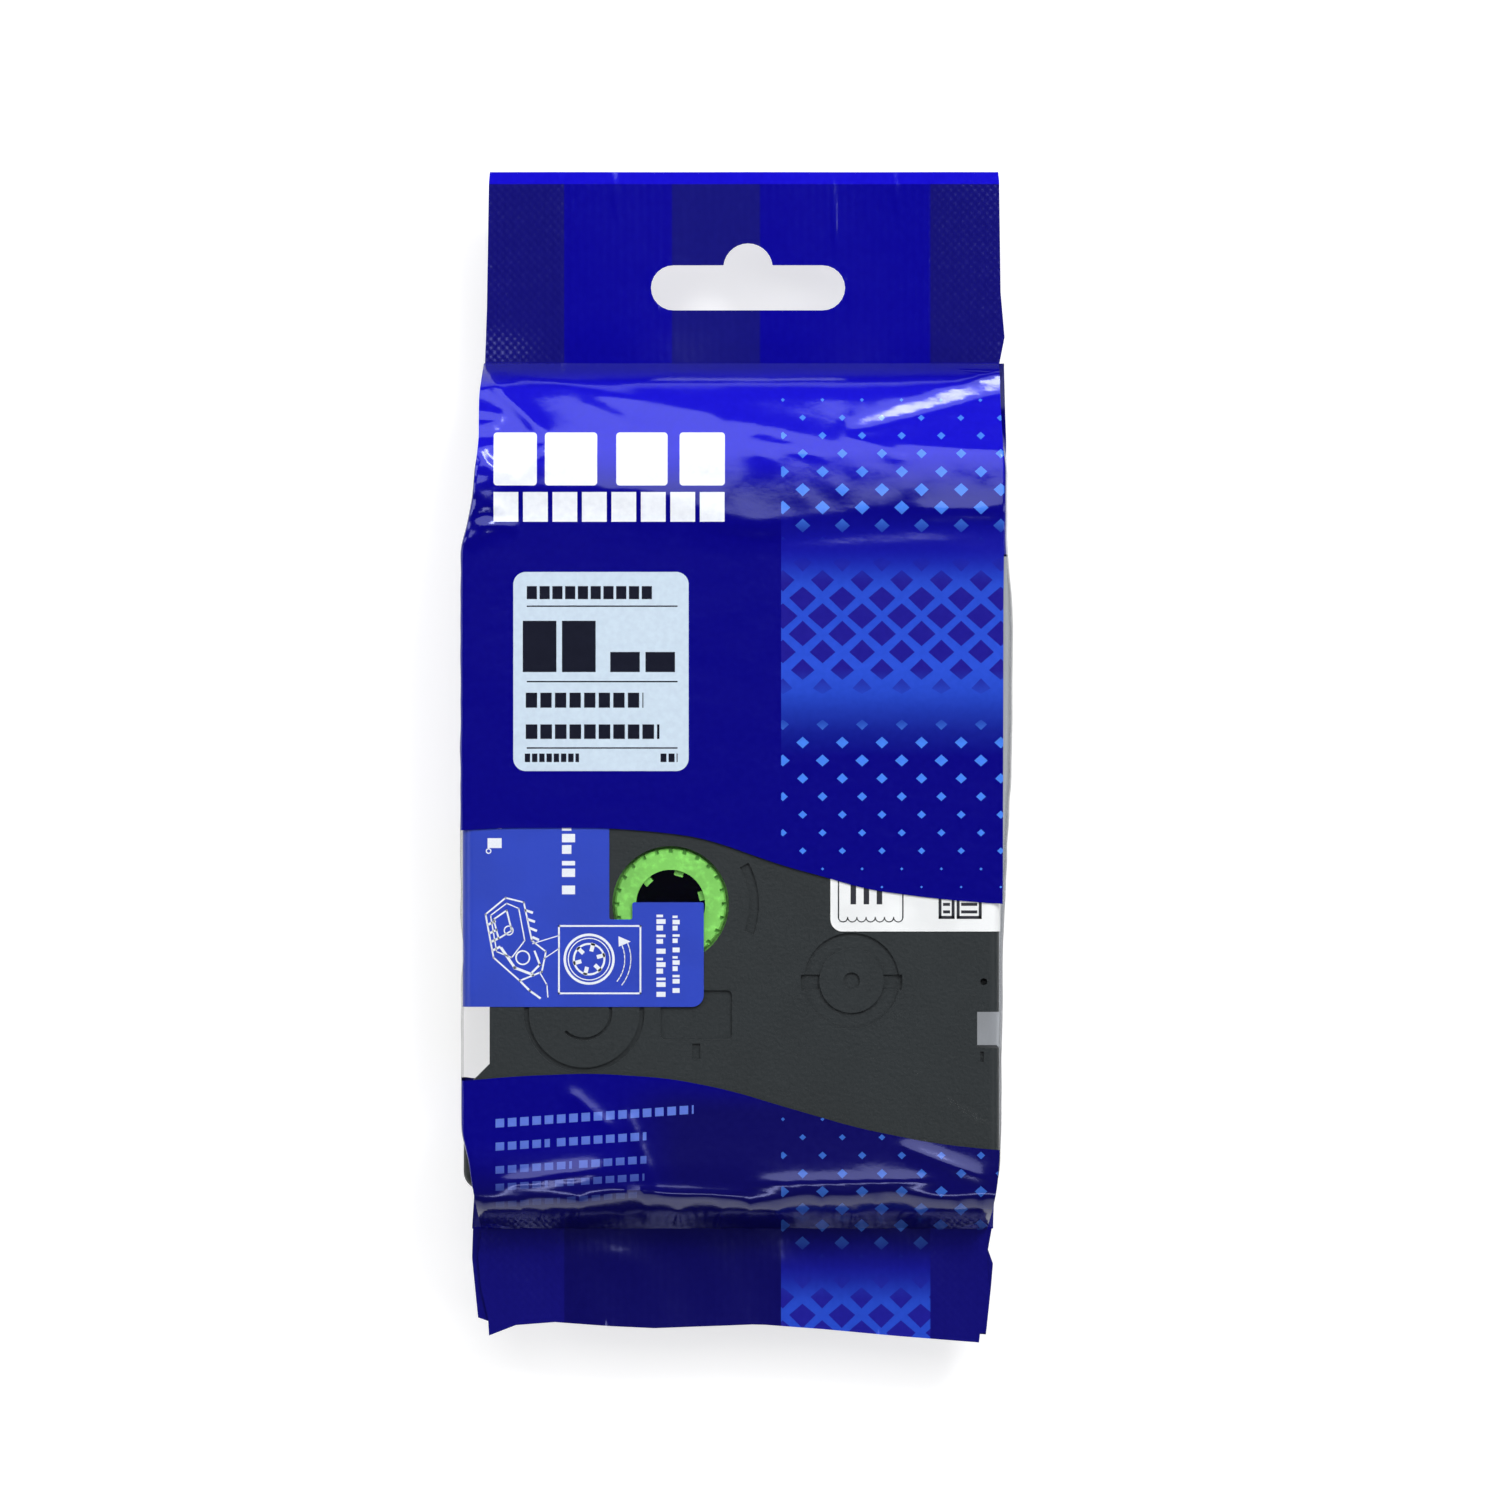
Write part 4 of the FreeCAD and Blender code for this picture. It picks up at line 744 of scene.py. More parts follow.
def body_rows(x):
    """Heights up the pack for one column: header seal, window top, window foot, foot seal."""
    top = window_edge(WINDOW_TOP, x)
    foot = window_edge(WINDOW_FOOT, x)
    upper = np.linspace(HEADER_FOOT, top, UPPER_ROWS + 1)
    window = np.linspace(top, foot, WINDOW_ROWS + 1)[1:]
    lower = np.linspace(foot, FOOT_TOP, LOWER_ROWS + 1)[1:]
    return np.concatenate([upper, window, lower])


# The film's lowest level over the case, and its highest anywhere
FILM_UNDER, FILM_OVER = 16.7, 17.28
# How finely the film body is divided
UPPER_ROWS, WINDOW_ROWS, LOWER_ROWS = 118, 54, 34
FRONT_COLUMNS, SIDE_COLUMNS, BACK_COLUMNS = 132, 16, 44
FRONT_LEFT, FRONT_RIGHT = -27.3, 26.5


def side_profile(turn):
    """How far a side swells at a share of its way from front to back, as a rounded oblong."""
    angle = math.pi * (0.5 - turn)
    return abs(math.cos(angle)) ** 0.5, math.copysign(abs(math.sin(angle)) ** 0.5, math.sin(angle))


def body_grid():
    """Rings of film points round the pack, as (rows, columns, 3): front, right side, back, left side."""
    columns = []
    shares = np.linspace(0.0, 1.0, FRONT_COLUMNS + 1)
    front_x = FRONT_LEFT + (FRONT_RIGHT - FRONT_LEFT) * shares
    front_y = np.stack([body_rows(x) for x in front_x], axis=1)
    left = eased(LEFT_FOLD, front_y, 0.6)
    right = eased(RIGHT_FOLD, front_y, 0.6)
    place_x = left + (right - left) * shares[None, :]
    rough = 0.65 * soft_noise(place_x, front_y, 0.16, 3.1) + 0.35 * soft_noise(place_x, front_y, 0.45, 7.7)
    front_z = front_height(place_x, front_y, rough)
    for i in range(FRONT_COLUMNS + 1):
        columns.append(np.stack([place_x[:, i], front_y[:, i], front_z[:, i]], axis=1))
    corners = {
        "right": (columns[-1], RIGHT_BACK, RIGHT_SWELL, 1.0),
        "left": (columns[0], LEFT_BACK, LEFT_SWELL, -1.0),
    }
    walls = {}
    for side, (edge, back_fold, swell, sign) in corners.items():
        y = edge[:, 1]
        back_x = eased(back_fold, y, 0.6)
        back_z = eased(BACK_RISE, y, 0.6)
        deep = eased(GUSSET_IN, y, 0.6)
        swelling = eased(swell, y, 0.8)
        ripple = 0.10 * soft_noise(np.full_like(y, 40.0 * sign), y, 0.35, 1.3)
        wall = []
        for k in range(1, SIDE_COLUMNS):
            turn = k / SIDE_COLUMNS
            out, level = side_profile(turn)
            fold = (1.0 - abs(2.0 * turn - 1.0)) ** 1.15
            x = edge[:, 0] + (back_x - edge[:, 0]) * turn + sign * (0.12 + swelling + ripple) * out
            x = x - sign * deep * fold
            middle = (edge[:, 2] + back_z) / 2
            z = middle + (edge[:, 2] - back_z) / 2 * level
            wall.append(np.stack([x, y, z], axis=1))
        walls[side] = wall
        walls[side + "_back"] = np.stack([back_x, y, back_z], axis=1)
    columns += walls["right"]
    right_back, left_back = walls["right_back"], walls["left_back"]
    for k in range(BACK_COLUMNS + 1):
        share = k / BACK_COLUMNS
        row = right_back + (left_back - right_back) * share
        columns.append(row)
    columns += walls["left"][::-1]
    return np.stack(columns, axis=1)


def mesh_object(name, points, faces, materials, face_slots=None, rounded=True):
    mesh = bpy.data.meshes.new(name)
    mesh.from_pydata([tuple(v * MM for v in p) for p in points], [], faces)
    for made in materials:
        mesh.materials.append(made)
    if face_slots is not None:
        mesh.polygons.foreach_set("material_index", face_slots)
    if rounded:
        mesh.polygons.foreach_set("use_smooth", [True] * len(mesh.polygons))
    mesh.update()
    mesh.set_sharp_from_angle(angle=math.radians(50.0))
    made = bpy.data.objects.new(name, mesh)
    bpy.context.scene.collection.objects.link(made)
    return made


def film_body(front_print, back_print, clear, painted_shade_film):
    """The film round the cassette between its two seals: printed, with a clear window."""
    grid = body_grid()
    rows, columns, _ = grid.shape
    points = grid.reshape(-1, 3)
    faces, slots = [], []
    window_start, window_stop = UPPER_ROWS, UPPER_ROWS + WINDOW_ROWS
    wall_start, back_start = FRONT_COLUMNS, FRONT_COLUMNS + SIDE_COLUMNS
    left_wall = back_start + BACK_COLUMNS
    for r in range(rows - 1):
        for c in range(columns):
            after = (c + 1) % columns
            faces.append((r * columns + c, (r + 1) * columns + c, (r + 1) * columns + after,
                          r * columns + after))
            in_window = window_start <= r < window_stop
            on_front = c < wall_start
            on_side = wall_start <= c < back_start or c >= left_wall
            x, y = grid[r, c, 0], grid[r, c, 1]
            if not on_front and x > BACK_PRINT[1] and CASE_FOOT < y < SIDE_WINDOW_TOP:
                in_window = True
            elif not on_front and not on_side and x > BACK_PRINT[0]:
                in_window = False
            # Clear faces on the right below that level get the film with painted shade
            painted_shade_face = in_window and not on_front and x > BACK_PRINT[1] and grid[r, c, 2] < PAINTED_SHADE_TOP
            slots.append(3 if painted_shade_face else 2 if in_window else 0 if on_front else 1)
    film_piece(mesh_object("film_body", points, faces, [front_print, back_print, clear, painted_shade_film], slots))


# Seals

SHEET_STEPS = (0.2, 0.85)
CRIMP_PITCH, KNURL_PITCH, FIN_PITCH = 0.8, 0.9, 0.9
# The film's thickness in the seals: four deep at the header's gussets, two deep between them, and one layer
FOUR_DEEP, TWO_DEEP, ONE_LAYER = 0.6, 0.4, 0.25
GUSSET_BANDS = (-17.4, 19.3)
HEADER_LEVEL, FOOT_FRONT_LEVEL, FOOT_BACK_LEVEL = 8.55, 8.75, 8.35
FIN_LEFT, FIN_RIGHT = -6.5, 2.3
# Upright creases of the header: middle x and y, and half their height
HEADER_CREASES = [(-12.2, 56.3, 2.1), (9.7, 54.3, 3.1), (15.8, 56.6, 1.6)]
# Short creases of the foot: middle x and y, turn, width, length and rise
FOOT_CRUMPLES = [(4.5, -51.0, 0.0, 0.9, 3.0, 0.2), (-12.0, -50.0, 1.3, 1.0, 3.0, 0.2)]


def slot_outline():
    """The hang slot with its hump, as points round its edge."""
    middle_x, middle_y, half_width, half_height = 1.1, 46.95, 9.7, 2.25
    hump, drop = 2.47, 0.29
    straight = half_width - half_height
    points = []
    for i in range(13):
        angle = math.radians(-90.0 + 15.0 * i)
        points.append((middle_x + straight + half_height * math.cos(angle),
                       middle_y + half_height * math.sin(angle)))
    foot = math.asin(drop / hump)
    for i in range(15):
        angle = foot + (math.pi - 2 * foot) * i / 14
        points.append((middle_x + hump * math.cos(angle),
                       middle_y + half_height - drop + hump * math.sin(angle)))
    for i in range(13):
        angle = math.radians(90.0 + 15.0 * i)
        points.append((middle_x - straight + half_height * math.cos(angle),
                       middle_y + half_height * math.sin(angle)))
    return points


def finer(loop, step=0.35):
    """A closed loop with points added along its long edges."""
    made = []
    for (x0, y0), (x1, y1) in zip(loop, loop[1:] + loop[:1]):
        count = max(1, int(math.hypot(x1 - x0, y1 - y0) / step))
        made += [(x0 + (x1 - x0) * i / count, y0 + (y1 - y0) * i / count) for i in range(count)]
    return made


def sheet_between(name, outline, holes, level, thickness, film):
    """A thin welded sheet with an outline and holes, whose two faces follow level(x, y)."""
    outline, holes = finer(outline), [finer(hole) for hole in holes]
    loops = [outline] + holes
    places, edges = [], []
    for loop in loops:
        start = len(places)
        places += [Vector(p) for p in loop]
        edges += [(start + i, start + (i + 1) % len(loop)) for i in range(len(loop))]
    xs = [p[0] for p in outline]
    ys = [p[1] for p in outline]
    step_x, step_y = SHEET_STEPS
    for x in np.arange(min(xs) + step_x, max(xs), step_x):
        for y in np.arange(min(ys) + step_y, max(ys), step_y):
            places.append(Vector((x, y)))
    flat, _, faces, *_ = geometry.delaunay_2d_cdt(places, edges, [], 0, 1e-5)
    kept = []
    for face in faces:
        middle = sum((flat[i] for i in face), Vector((0.0, 0.0))) / len(face)
        if inside(middle, outline) and not any(inside(middle, hole) for hole in holes):
            kept.append(list(face))
    used = sorted({i for face in kept for i in face})
    renamed = {old: new for new, old in enumerate(used)}
    count = len(used)
    front, back = [], []
    for i in used:
        x, y = flat[i]
        middle, half = level(x, y), thickness(x, y) / 2
        front.append((x, y, middle + half))
        back.append((x, y, middle - half))
    top_faces = [[renamed[i] for i in face] for face in kept]
    edge_uses = {}
    for face in top_faces:
        for a, b in zip(face, face[1:] + face[:1]):
            edge_uses[(a, b)] = True
    borders = [(a, b) for a, b in edge_uses if (b, a) not in edge_uses]
    all_faces = top_faces + [[i + count for i in face[::-1]] for face in top_faces]
    all_faces += [[b, a, a + count, b + count] for a, b in borders]
    return mesh_object(name, front + back, all_faces, [film])


def inside(point, loop):
    """Whether a point lies in a closed loop."""
    hit = False
    for (x0, y0), (x1, y1) in zip(loop, loop[1:] + loop[:1]):
        if (y0 > point[1]) != (y1 > point[1]) and point[0] < (x1 - x0) * (point[1] - y0) / (y1 - y0) + x0:
            hit = not hit
    return hit


def header_seal(front_print):
    """The crimped header: a slack, slightly waved sheet, four films deep at its sides."""
    outline = [(-25.2, 39.25), (26.2, 39.25), (26.75, 42.0), (26.35, 46.5), (26.2, 57.6), (26.1, 58.5),
               (-24.7, 58.5), (-24.8, 57.4), (-25.0, 45.0)]

    def level(x, y):
        wave = 0.12 * math.sin(0.35 * x + 0.8) + 0.06 * math.sin(0.12 * y + 0.31 * x)
        rib = 0.012 * math.sin(2 * math.pi * x / CRIMP_PITCH) if 39.9 < y < 57.3 else 0.0
        ease = min(1.0, (y - HEADER_FOOT) / 3.0)
        lean = 0.038 * max(0.0, y - HEADER_FOOT)
        crease = sum(0.13 * math.exp(-((x - cx) / 0.22) ** 2) * max(0.0, 1.0 - ((y - cy) / half) ** 4)
                     for cx, cy, half in HEADER_CREASES if abs(y - cy) < half)
        return HEADER_LEVEL + wave * ease + lean + crease + rib

    def thickness(x, y):
        return TWO_DEEP if GUSSET_BANDS[0] <= x <= GUSSET_BANDS[1] else FOUR_DEEP

    film_piece(sheet_between("header_seal", outline, [slot_outline()], level, thickness, front_print))


def foot_seal(front_print, back_print):
    """The crimped foot: a front and a back layer whose cut edges don't quite meet."""
    front = [(-25.5, -46.95), (-25.9, -50.0), (-25.6, -53.0), (-24.9, -56.0), (-24.8, -57.8),
             (-22.1, -56.75),
             (-18.2, -56.45), (-12.5, -56.85), (-8.3, -57.05), (-2.9, -56.85), (2.1, -56.65), (8.6, -57.15),
             (16.2, -57.85), (24.2, -58.5), (24.3, -57.6), (24.9, -57.5), (25.3, -53.7), (25.0, -50.4),
             (25.0, -46.95)]
    back = [(-26.4, -46.95), (-26.5, -50.0), (-26.2, -53.0), (-25.9, -56.0), (-24.9, -56.35),
            (-10.0, -56.4),
            (10.0, -56.9), (24.9, -57.7), (25.4, -53.0), (25.6, -50.6), (25.1, -49.2), (25.5, -46.95)]

    def level(x, y):
        wave = 0.12 * math.sin(0.42 * x + 1.1) + 0.05 * math.sin(0.9 * x + 0.3 * y)
        curl = 0.008 * (y - FOOT_TOP) ** 2 * math.sin(0.13 * x + 2.0)
        rib = 0.012 * math.sin(2 * math.pi * x / CRIMP_PITCH) if y < -47.6 else 0.0
        ease = min(1.0, (FOOT_TOP - y) / 3.0)
        crumple = sum(rise * math.exp(-abs((x - cx) * math.cos(t) + (y - cy) * math.sin(t)) / wide
                                      - (((y - cy) * math.cos(t) - (x - cx) * math.sin(t)) / long) ** 2)
                      for cx, cy, t, wide, long, rise in FOOT_CRUMPLES)
        return (wave + 0.25 * curl + crumple) * ease + rib

    for name, outline, middle, film in (("foot_seal_front", front, FOOT_FRONT_LEVEL, front_print),
                                        ("foot_seal_back", back, FOOT_BACK_LEVEL, back_print)):
        film_piece(sheet_between(name, outline, [], lambda x, y, m=middle: m + level(x, y),
                                 lambda x, y: ONE_LAYER, film))


def fin_seal(back_print):
    """The lengthwise seal, folded flat on the back film."""
    rows = np.linspace(39.3, -47.0, 120)
    shares = np.linspace(0.0, 1.0, 19)
    points, faces = [], []
    for y in rows:
        base = float(eased(BACK_RISE, np.array([y]), 0.6)[0])
        rib = 0.03 * math.sin(2 * math.pi * y / FIN_PITCH)
        for share in shares:
            x = FIN_LEFT + (FIN_RIGHT - FIN_LEFT) * share
            lift = 0.10 + 0.08 * (1.0 - (2.0 * share - 1.0) ** 4)
            points.append((x, y, base - lift - 0.5 * rib * (0.1 < share < 0.9)))
    width = len(shares)
    for r in range(len(rows) - 1):
        for c in range(width - 1):
            faces.append((r * width + c, r * width + c + 1, (r + 1) * width + c + 1, (r + 1) * width + c))
    film_piece(mesh_object("fin_seal", points, faces, [back_print]))


# Marks printed on the labels

MARK_LIFT = 0.012


class Marks:
    """Flat shapes of ink laid on one label's face."""

    def __init__(self, level):
        self.level = level
        self.points = []
        self.faces = []

    def polygon(self, loop):
        start = len(self.points)
        self.points += [(x, y, self.level) for x, y in loop]
        self.faces.append(list(range(start, start + len(loop))))

    def bar(self, left, right, foot, top):
        self.polygon([(left, foot), (right, foot), (right, top), (left, top)])

    def line(self, points, width, closed=False):
        """A drawn line of even width through the points."""
        loop = points + points[:1] if closed else points
        for (x0, y0), (x1, y1) in zip(loop, loop[1:]):
            length = math.hypot(x1 - x0, y1 - y0)
            if length < 1e-6:
                continue
            nx, ny = -(y1 - y0) / length * width / 2, (x1 - x0) / length * width / 2
            ex, ey = (x1 - x0) / length * width / 2, (y1 - y0) / length * width / 2
            self.polygon([(x0 + nx - ex, y0 + ny - ey), (x0 - nx - ex, y0 - ny - ey),
                          (x1 - nx + ex, y1 - ny + ey), (x1 + nx + ex, y1 + ny + ey)])

    def ring(self, x, y, outer, inner, steps=48):
        for i in range(steps):
            a, b = 2 * math.pi * i / steps, 2 * math.pi * (i + 1) / steps
            self.polygon([(x + r * math.cos(t), y + r * math.sin(t))
                          for r, t in ((inner, a), (outer, a), (outer, b), (inner, b))])

    def words(self, left, right, foot, top, pitch, upright):
        """Uneven short blocks where the real label has words, along a row or up a column."""
        start, stop = (foot, top) if upright else (left, right)
        place, i = start, 0
        while place < stop - 0.2 * pitch:
            size = pitch * (0.62 + 0.24 * math.sin(2.1 * i + 0.6))
            end = min(place + size, stop)
            rise = 0.72 + 0.28 * (math.sin(3.3 * i) > -0.2)
            if upright:
                self.bar(left, left + (right - left) * rise, place, end)
            else:
                self.bar(place, end, foot, foot + (top - foot) * rise)
            place += pitch * (1.0 if i % 6 else 1.5)
            i += 1

    def made(self, name, ink):
        made = mesh_object(name, self.points, self.faces, [ink], rounded=False)
        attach(made, "root")
        return made


def sticker_marks(ink):
    """The blue sticker's plain pictures: a spool in a frame, an arrow, an outline and rows of blocks."""
    marks = Marks(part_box("instruction_sticker")[1].z / MM + MARK_LIFT)
    frame = [(-17.7, -16.75), (-9.6, -16.75), (-9.6, -23.45), (-17.7, -23.45)]
    marks.line(frame, 0.17, closed=True)
    x, y = -14.7, -20.05
    for outer, inner in ((2.55, 2.3), (2.12, 2.02), (1.62, 1.42)):
        marks.ring(x, y, outer, inner)
    for i in range(6):
        angle = math.radians(60.0 * i + 15.0)
        inner_end = (x + 1.0 * math.cos(angle), y + 1.0 * math.sin(angle))
        marks.line([inner_end, (x + 1.45 * math.cos(angle), y + 1.45 * math.sin(angle))], 0.4)
    sweep = [math.radians(-38.0 + 7.6 * i) for i in range(11)]
    for radius in (3.55, 4.15):
        marks.line([(x + radius * math.cos(a), y + radius * math.sin(a)) for a in sweep[:9]], 0.1)
    marks.polygon([(x + 3.2 * math.cos(sweep[8]), y + 3.2 * math.sin(sweep[8])),
                   (x + 4.5 * math.cos(sweep[8]), y + 4.5 * math.sin(sweep[8])),
                   (x + 3.7 * math.cos(sweep[10]), y + 3.7 * math.sin(sweep[10]))])
    device = [(-25.0, -15.6), (-23.0, -13.95), (-21.2, -14.4), (-20.4, -18.2), (-19.0, -19.3),
              (-19.4, -21.3), (-21.6, -22.2), (-24.2, -19.9)]
    marks.line(device, 0.16, closed=True)
    lid = [(-24.5, -15.7), (-22.9, -14.5), (-21.7, -15.0), (-21.1, -18.2), (-22.4, -19.9), (-23.9, -19.3)]
    marks.line(lid, 0.12, closed=True)
    marks.line([(-24.2, -16.1), (-22.9, -15.2), (-22.4, -17.2), (-23.7, -18.0)], 0.16, closed=True)
    for step in range(4):
        marks.line([(-24.7 + 0.16 * step, -16.6 - 0.85 * step),
                    (-24.1 + 0.16 * step, -16.3 - 0.85 * step)], 0.22)
        marks.line([(-21.0 + 0.25 * step, -15.2 - 0.9 * step),
                    (-20.4 + 0.2 * step, -15.4 - 0.9 * step)], 0.24)
    marks.line([(-23.4, -19.0), (-22.1, -20.9), (-20.3, -21.6)], 0.26)
    marks.line([(-20.1, -19.3), (-19.6, -20.6), (-20.4, -21.4)], 0.2)
    marks.ring(-21.3, -19.9, 0.75, 0.6, 24)
    marks.ring(-22.7, -17.2, 0.5, 0.38, 20)
    marks.line([(-21.6, -22.2), (-20.6, -23.2), (-19.6, -23.9)], 0.2)
    marks.line([(-20.3, -18.5), (-17.7, -17.7)], 0.1)
    marks.line([(-19.2, -20.0), (-17.7, -19.0)], 0.1)
    marks.line([(-19.6, -21.4), (-18.9, -22.6), (-18.8, -23.8)], 0.12)
    marks.words(-6.4, -5.7, -23.4, -15.7, 0.62, True)
    marks.words(-8.0, -7.1, -23.8, -15.6, 0.66, True)
    marks.words(-17.4, -16.1, -13.6, 18.0, 1.15, True)
    marks.words(-24.8, -23.4, -9.0, 18.0, 1.3, True)
    marks.ring(-24.7, -9.3, 0.28, 0.17, 20)
    return marks.made("sticker_marks", ink)


def type_label_marks(ink):
    """Plain dark marks on the white label: a scalloped box, bars and thin rules."""
    marks = Marks(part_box("type_label")[1].z / MM + MARK_LIFT)
    left, right, foot = 10.1, 16.5, -15.9
    marks.line([(left, 20.0), (left, foot)], 0.14)
    marks.line([(right, 20.0), (right, foot)], 0.14)
    scallops = 7
    width = (right - left) / scallops
    for i in range(scallops):
        middle = left + width * (i + 0.5)
        arc = [(middle + width / 2 * math.cos(a), foot - 0.45 * math.sin(a))
               for a in (math.radians(22.5 * k) for k in range(9))]
        marks.line(arc, 0.1)
    for x in (11.3, 12.6, 13.9):
        marks.bar(x, x + 0.55, -14.6, -8.0)
    marks.bar(11.3, 14.45, -10.2, -9.6)
    marks.line([(18.4, 20.0), (18.4, -13.6)], 0.08)
    for x, width in ((20.2, 1.3), (22.0, 2.2)):
        marks.line([(x, -15.9), (x + width, -15.9), (x + width, -13.4), (x, -13.4)], 0.3, closed=True)
        for step in range(3):
            marks.bar(x + 0.3, x + width - 0.3, -15.5 + 0.75 * step, -15.2 + 0.75 * step)
    marks.words(20.2, 24.2, -12.0, 12.0, 1.4, True)
    return marks.made("type_label_marks", ink)


# Stage


def studio():
    """A white floor, a sky that is white at the horizon and dark above, and five soft lamps."""
    floor_mesh = bpy.data.meshes.new("floor")
    reach = 4.0
    floor_mesh.from_pydata([(-reach, -reach, -0.0002), (reach, -reach, -0.0002), (reach, reach, -0.0002),
                            (-reach, reach, -0.0002)], [], [(0, 1, 2, 3)])
    floor = bpy.data.objects.new("floor", floor_mesh)
    bpy.context.scene.collection.objects.link(floor)
    paper = bpy.data.materials.new("floor_paper")
    paper.use_nodes = True
    tree = paper.node_tree
    tree.nodes.clear()
    rays = tree.nodes.new("ShaderNodeLightPath")
    seen = larger(tree, rays.outputs["Is Camera Ray"], rays.outputs["Is Glossy Ray"])
    seen = larger(tree, seen, rays.outputs["Is Transmission Ray"])
    glow = add(tree, "ShaderNodeEmission", {"Color": (1.0, 1.0, 1.0, 1.0),
                                            "Strength": times(tree, seen, 0.66)})
    matt = add(tree, "ShaderNodeBsdfDiffuse", {"Color": (0.52, 0.52, 0.52, 1.0)})
    both = add(tree, "ShaderNodeAddShader", {0: glow.outputs[0], 1: matt.outputs[0]})
    add(tree, "ShaderNodeOutputMaterial", {"Surface": both.outputs[0]})
    floor_mesh.materials.append(paper)

    world = bpy.data.worlds.new("studio_sky")
    bpy.context.scene.world = world
    world.use_nodes = True
    tree = world.node_tree
    sky = tree.nodes["Background"]
    coordinates = tree.nodes.new("ShaderNodeTexCoord")
    apart = add(tree, "ShaderNodeSeparateXYZ", {0: coordinates.outputs["Generated"]})
    level = smooth(tree, apart.outputs["Z"], 0.02, 0.16)
    tree.links.new(mixed(tree, level, (1.0, 1.0, 1.0, 1.0), (0.05, 0.05, 0.055, 1.0)), sky.inputs["Color"])
    sky.inputs["Strength"].default_value = 1.0

    lamp("header_side_softbox", (0.05, 0.62, 0.96), (1.2, 1.02), 10.6)
    lamp("small_bright_lamp", (0.39, 0.59, 0.97), (0.30, 0.18), 4.6)
    lamp("left_lamp", (-0.85, 0.12, 0.62), (0.35, 0.5), 2.6)
    lamp("right_lamp", (0.85, -0.1, 0.7), (0.3, 0.45), 2.2)
    lamp("foot_side_lamp", (0.1, -0.75, 0.8), (0.5, 0.12), 1.2)


def lamp(name, place, size, power):
    light = bpy.data.lights.new(name, "AREA")
    light.shape = "RECTANGLE"
    light.size, light.size_y = size
    light.energy = power
    made = bpy.data.objects.new(name, light)
    made.location = place
    made.rotation_euler = (-Vector(place)).to_track_quat("-Z", "Y").to_euler()
    bpy.context.scene.collection.objects.link(made)


FRAME_WIDTH = 0.150
FRAME_MIDDLE = (0.0013, 0.00075)
CAMERA_DISTANCE = 1.5


def camera():
    """Straight down on the pack's front, from far enough for an almost flat view."""
    lens = bpy.data.cameras.new("camera")
    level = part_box("film_pack")[1].z / 2
    lens.sensor_width = 36.0
    lens.lens = 36.0 * CAMERA_DISTANCE / FRAME_WIDTH
    lens.clip_start, lens.clip_end = 0.05, 20.0
    made = bpy.data.objects.new("camera", lens)
    made.location = (*FRAME_MIDDLE, level + CAMERA_DISTANCE)
    bpy.context.scene.collection.objects.link(made)
    bpy.context.scene.camera = made


# Build


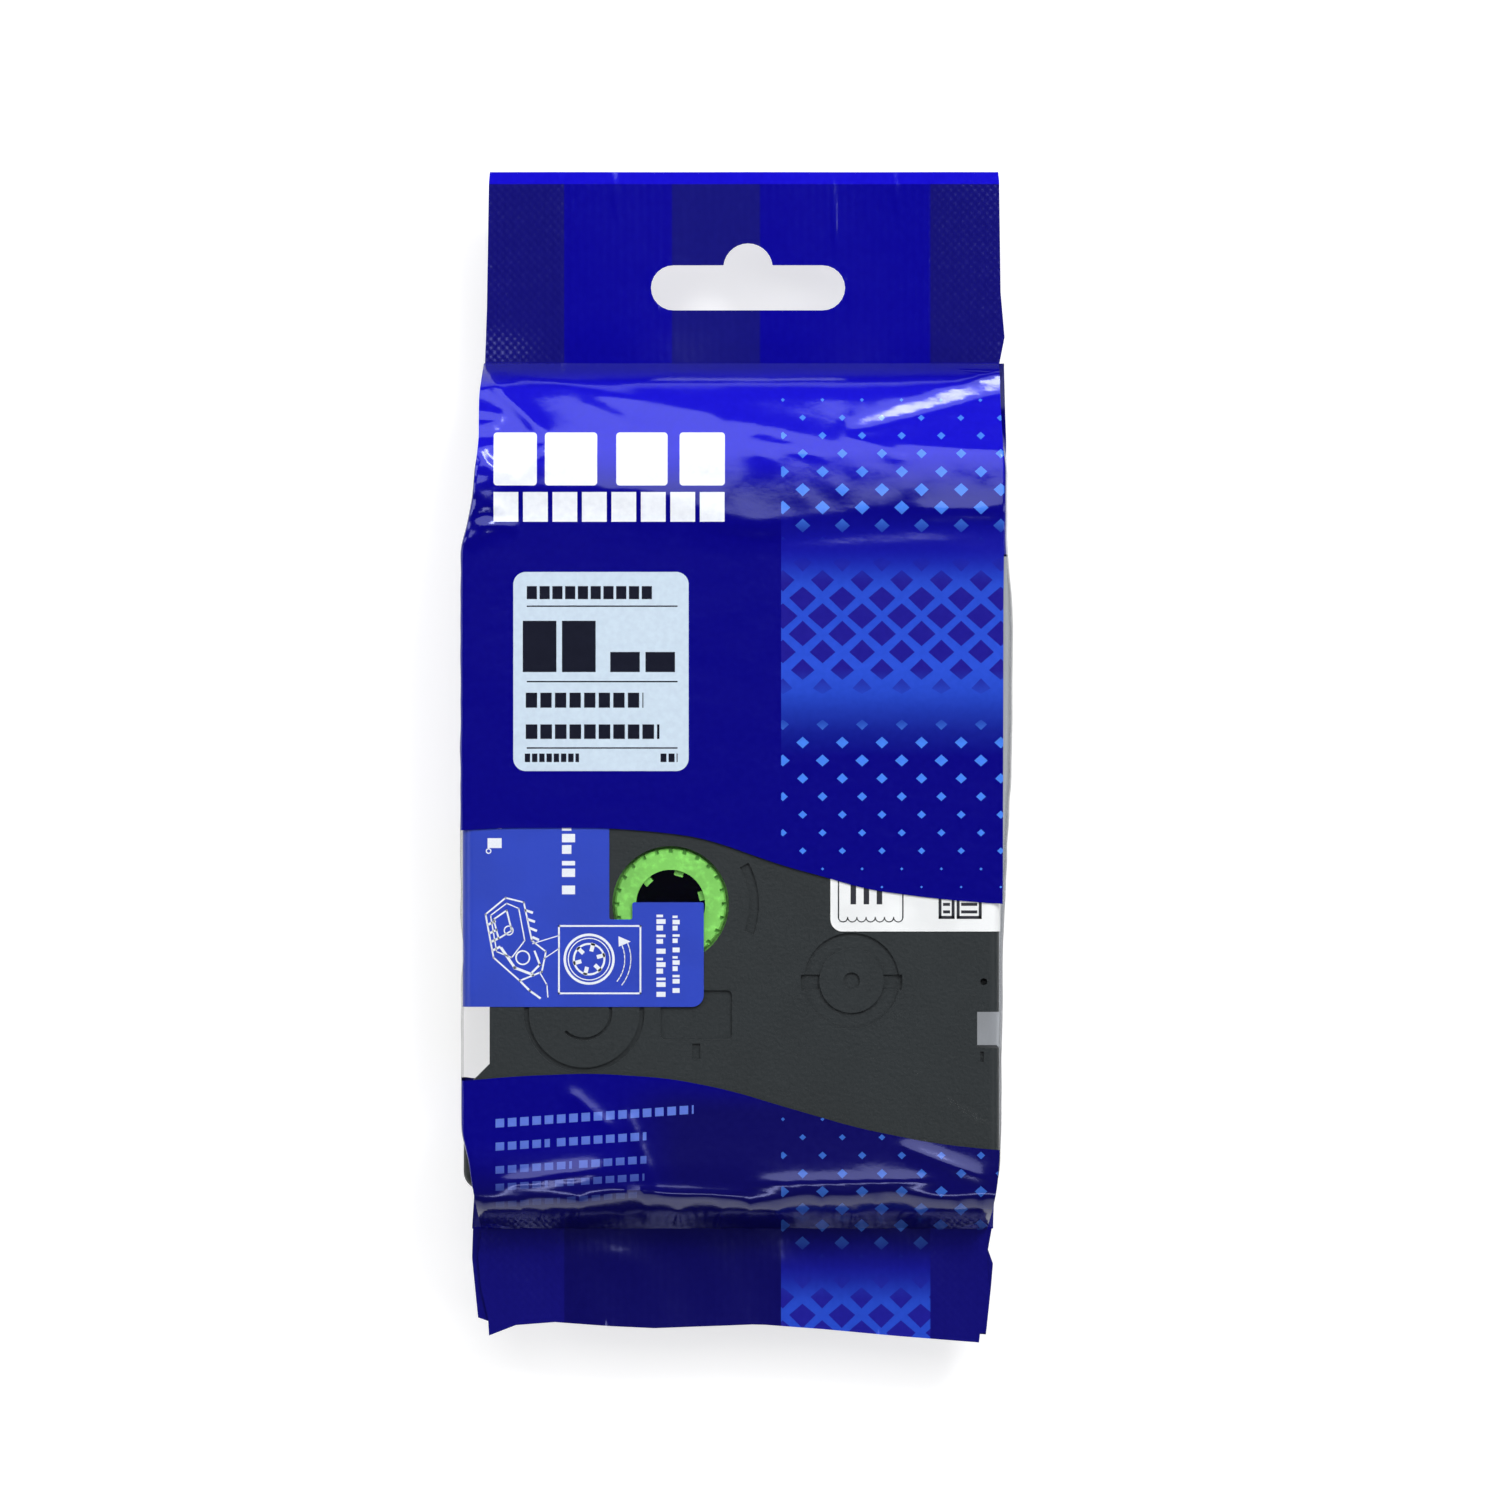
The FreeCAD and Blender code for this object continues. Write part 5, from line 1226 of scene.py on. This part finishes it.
def cassette_finishes(nodes):
    """Each carried-over piece's own finish."""
    reels = {joint["child"]: joint["pos_m"] for joint in frame["joints"]}
    case_sheen = {"Specular_IOR_Level": 0.25}
    finishes = {
        "bottom_case": moulded_plastic("case_lower_plastic", CASE_GREY, 0.46, 2.6, 0.03, **case_sheen),
        "top_case": moulded_plastic("case_upper_plastic", CASE_GREY, 0.44, 2.6, 0.03, **case_sheen),
        "adhesive_spool": moulded_plastic("white_core_plastic", CORE_WHITE, 0.42, 1.4, 0.01, 0.94),
        "clear_film_spool": moulded_plastic("white_film_core_plastic", FILM_CORE_WHITE, 0.42, 1.4, 0.01,
                                            0.94),
        "ribbon_spool": moulded_plastic("grey_core_plastic", CORE_GREY, 0.45, 1.8, 0.015),
        "take_up_spool": moulded_plastic("green_spool_plastic", SPOOL_GREEN, 0.36, 1.2, 0.015, 1.9),
        "feed_roller": moulded_plastic("roller_rubber", ROLLER_BLACK, 0.62, 3.4, 0.04),
        "lower_spacer": label_paper("lower_spacer_film", LOWER_SPACER_PALE),
        "upper_spacer": label_paper("upper_spacer_film", UPPER_SPACER_PALE),
        "adhesive_tape_roll": wound_tape("white_tape_turns", TAPE_WHITE, reels["adhesive_reel"], TAPE_LINE),
        "clear_film_roll": wound_tape("clear_film_turns", CLEAR_TAPE, reels["clear_film_reel"],
                                      CLEAR_TAPE_LINE, 0.16, Coat_Weight=0.5),
        "ink_ribbon_roll": wound_tape("ink_ribbon_turns", RIBBON_BLACK, reels["ribbon_reel"],
                                      RIBBON_LINE, 0.12),
        "used_ribbon_turns": wound_tape("used_ribbon_turns_film", USED_RIBBON_BLACK, reels["take_up_reel"],
                                        USED_RIBBON_LINE, 0.12),
        "clear_film_run": label_paper("clear_film_strip", CLEAR_STRIP),
        "adhesive_tape_run": label_paper("white_tape_strip", TAPE_WHITE),
        "laminated_leader": label_paper("laminated_strip", LEADER_WHITE),
        "ink_ribbon_run": ink_mark("ink_ribbon_strip", RIBBON_BLACK, 0.25),
        "ribbon_clutch_spring": spring_steel(),
        "take_up_clutch_spring": spring_steel(),
        "instruction_sticker": label_paper("blue_label_paper", STICKER_BLUE),
        "type_label": label_paper("white_label_paper", LABEL_WHITE),
    }
    for name, finish in finishes.items():
        mesh = nodes[name].data
        if not mesh.materials:
            mesh.materials.append(finish)
        for i in range(len(mesh.materials)):
            mesh.materials[i] = finish


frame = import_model()
SHARED["place"] = place_group()
SHARED["block"] = block_group()
SHARED["row"] = row_group()
SHARED["diamond"] = diamond_group()
SHARED["grain"] = grain_group()
SHARED["film"] = film_group()

front_film = printed_film("front_print_film", True)
back_film = printed_film("back_print_film", False)
window_film = clear_film("clear_film", (0.995, 0.996, 1.0, 1.0))
# Clear film with a dark through colour: painted shade over the notch and the case's lower side
painted_shade_clear_film = clear_film("clear_film_painted_shade", (0.42, 0.44, 0.47, 1.0))
film_body(front_film, back_film, window_film, painted_shade_clear_film)
header_seal(front_film)
foot_seal(front_film, back_film)
fin_seal(back_film)
cassette_finishes(frame["nodes"])
sticker_marks(ink_mark("sticker_white_ink", MARK_WHITE))
type_label_marks(ink_mark("label_black_ink", INK))

studio()
camera()
bpy.context.scene.view_settings.view_transform = "Standard"
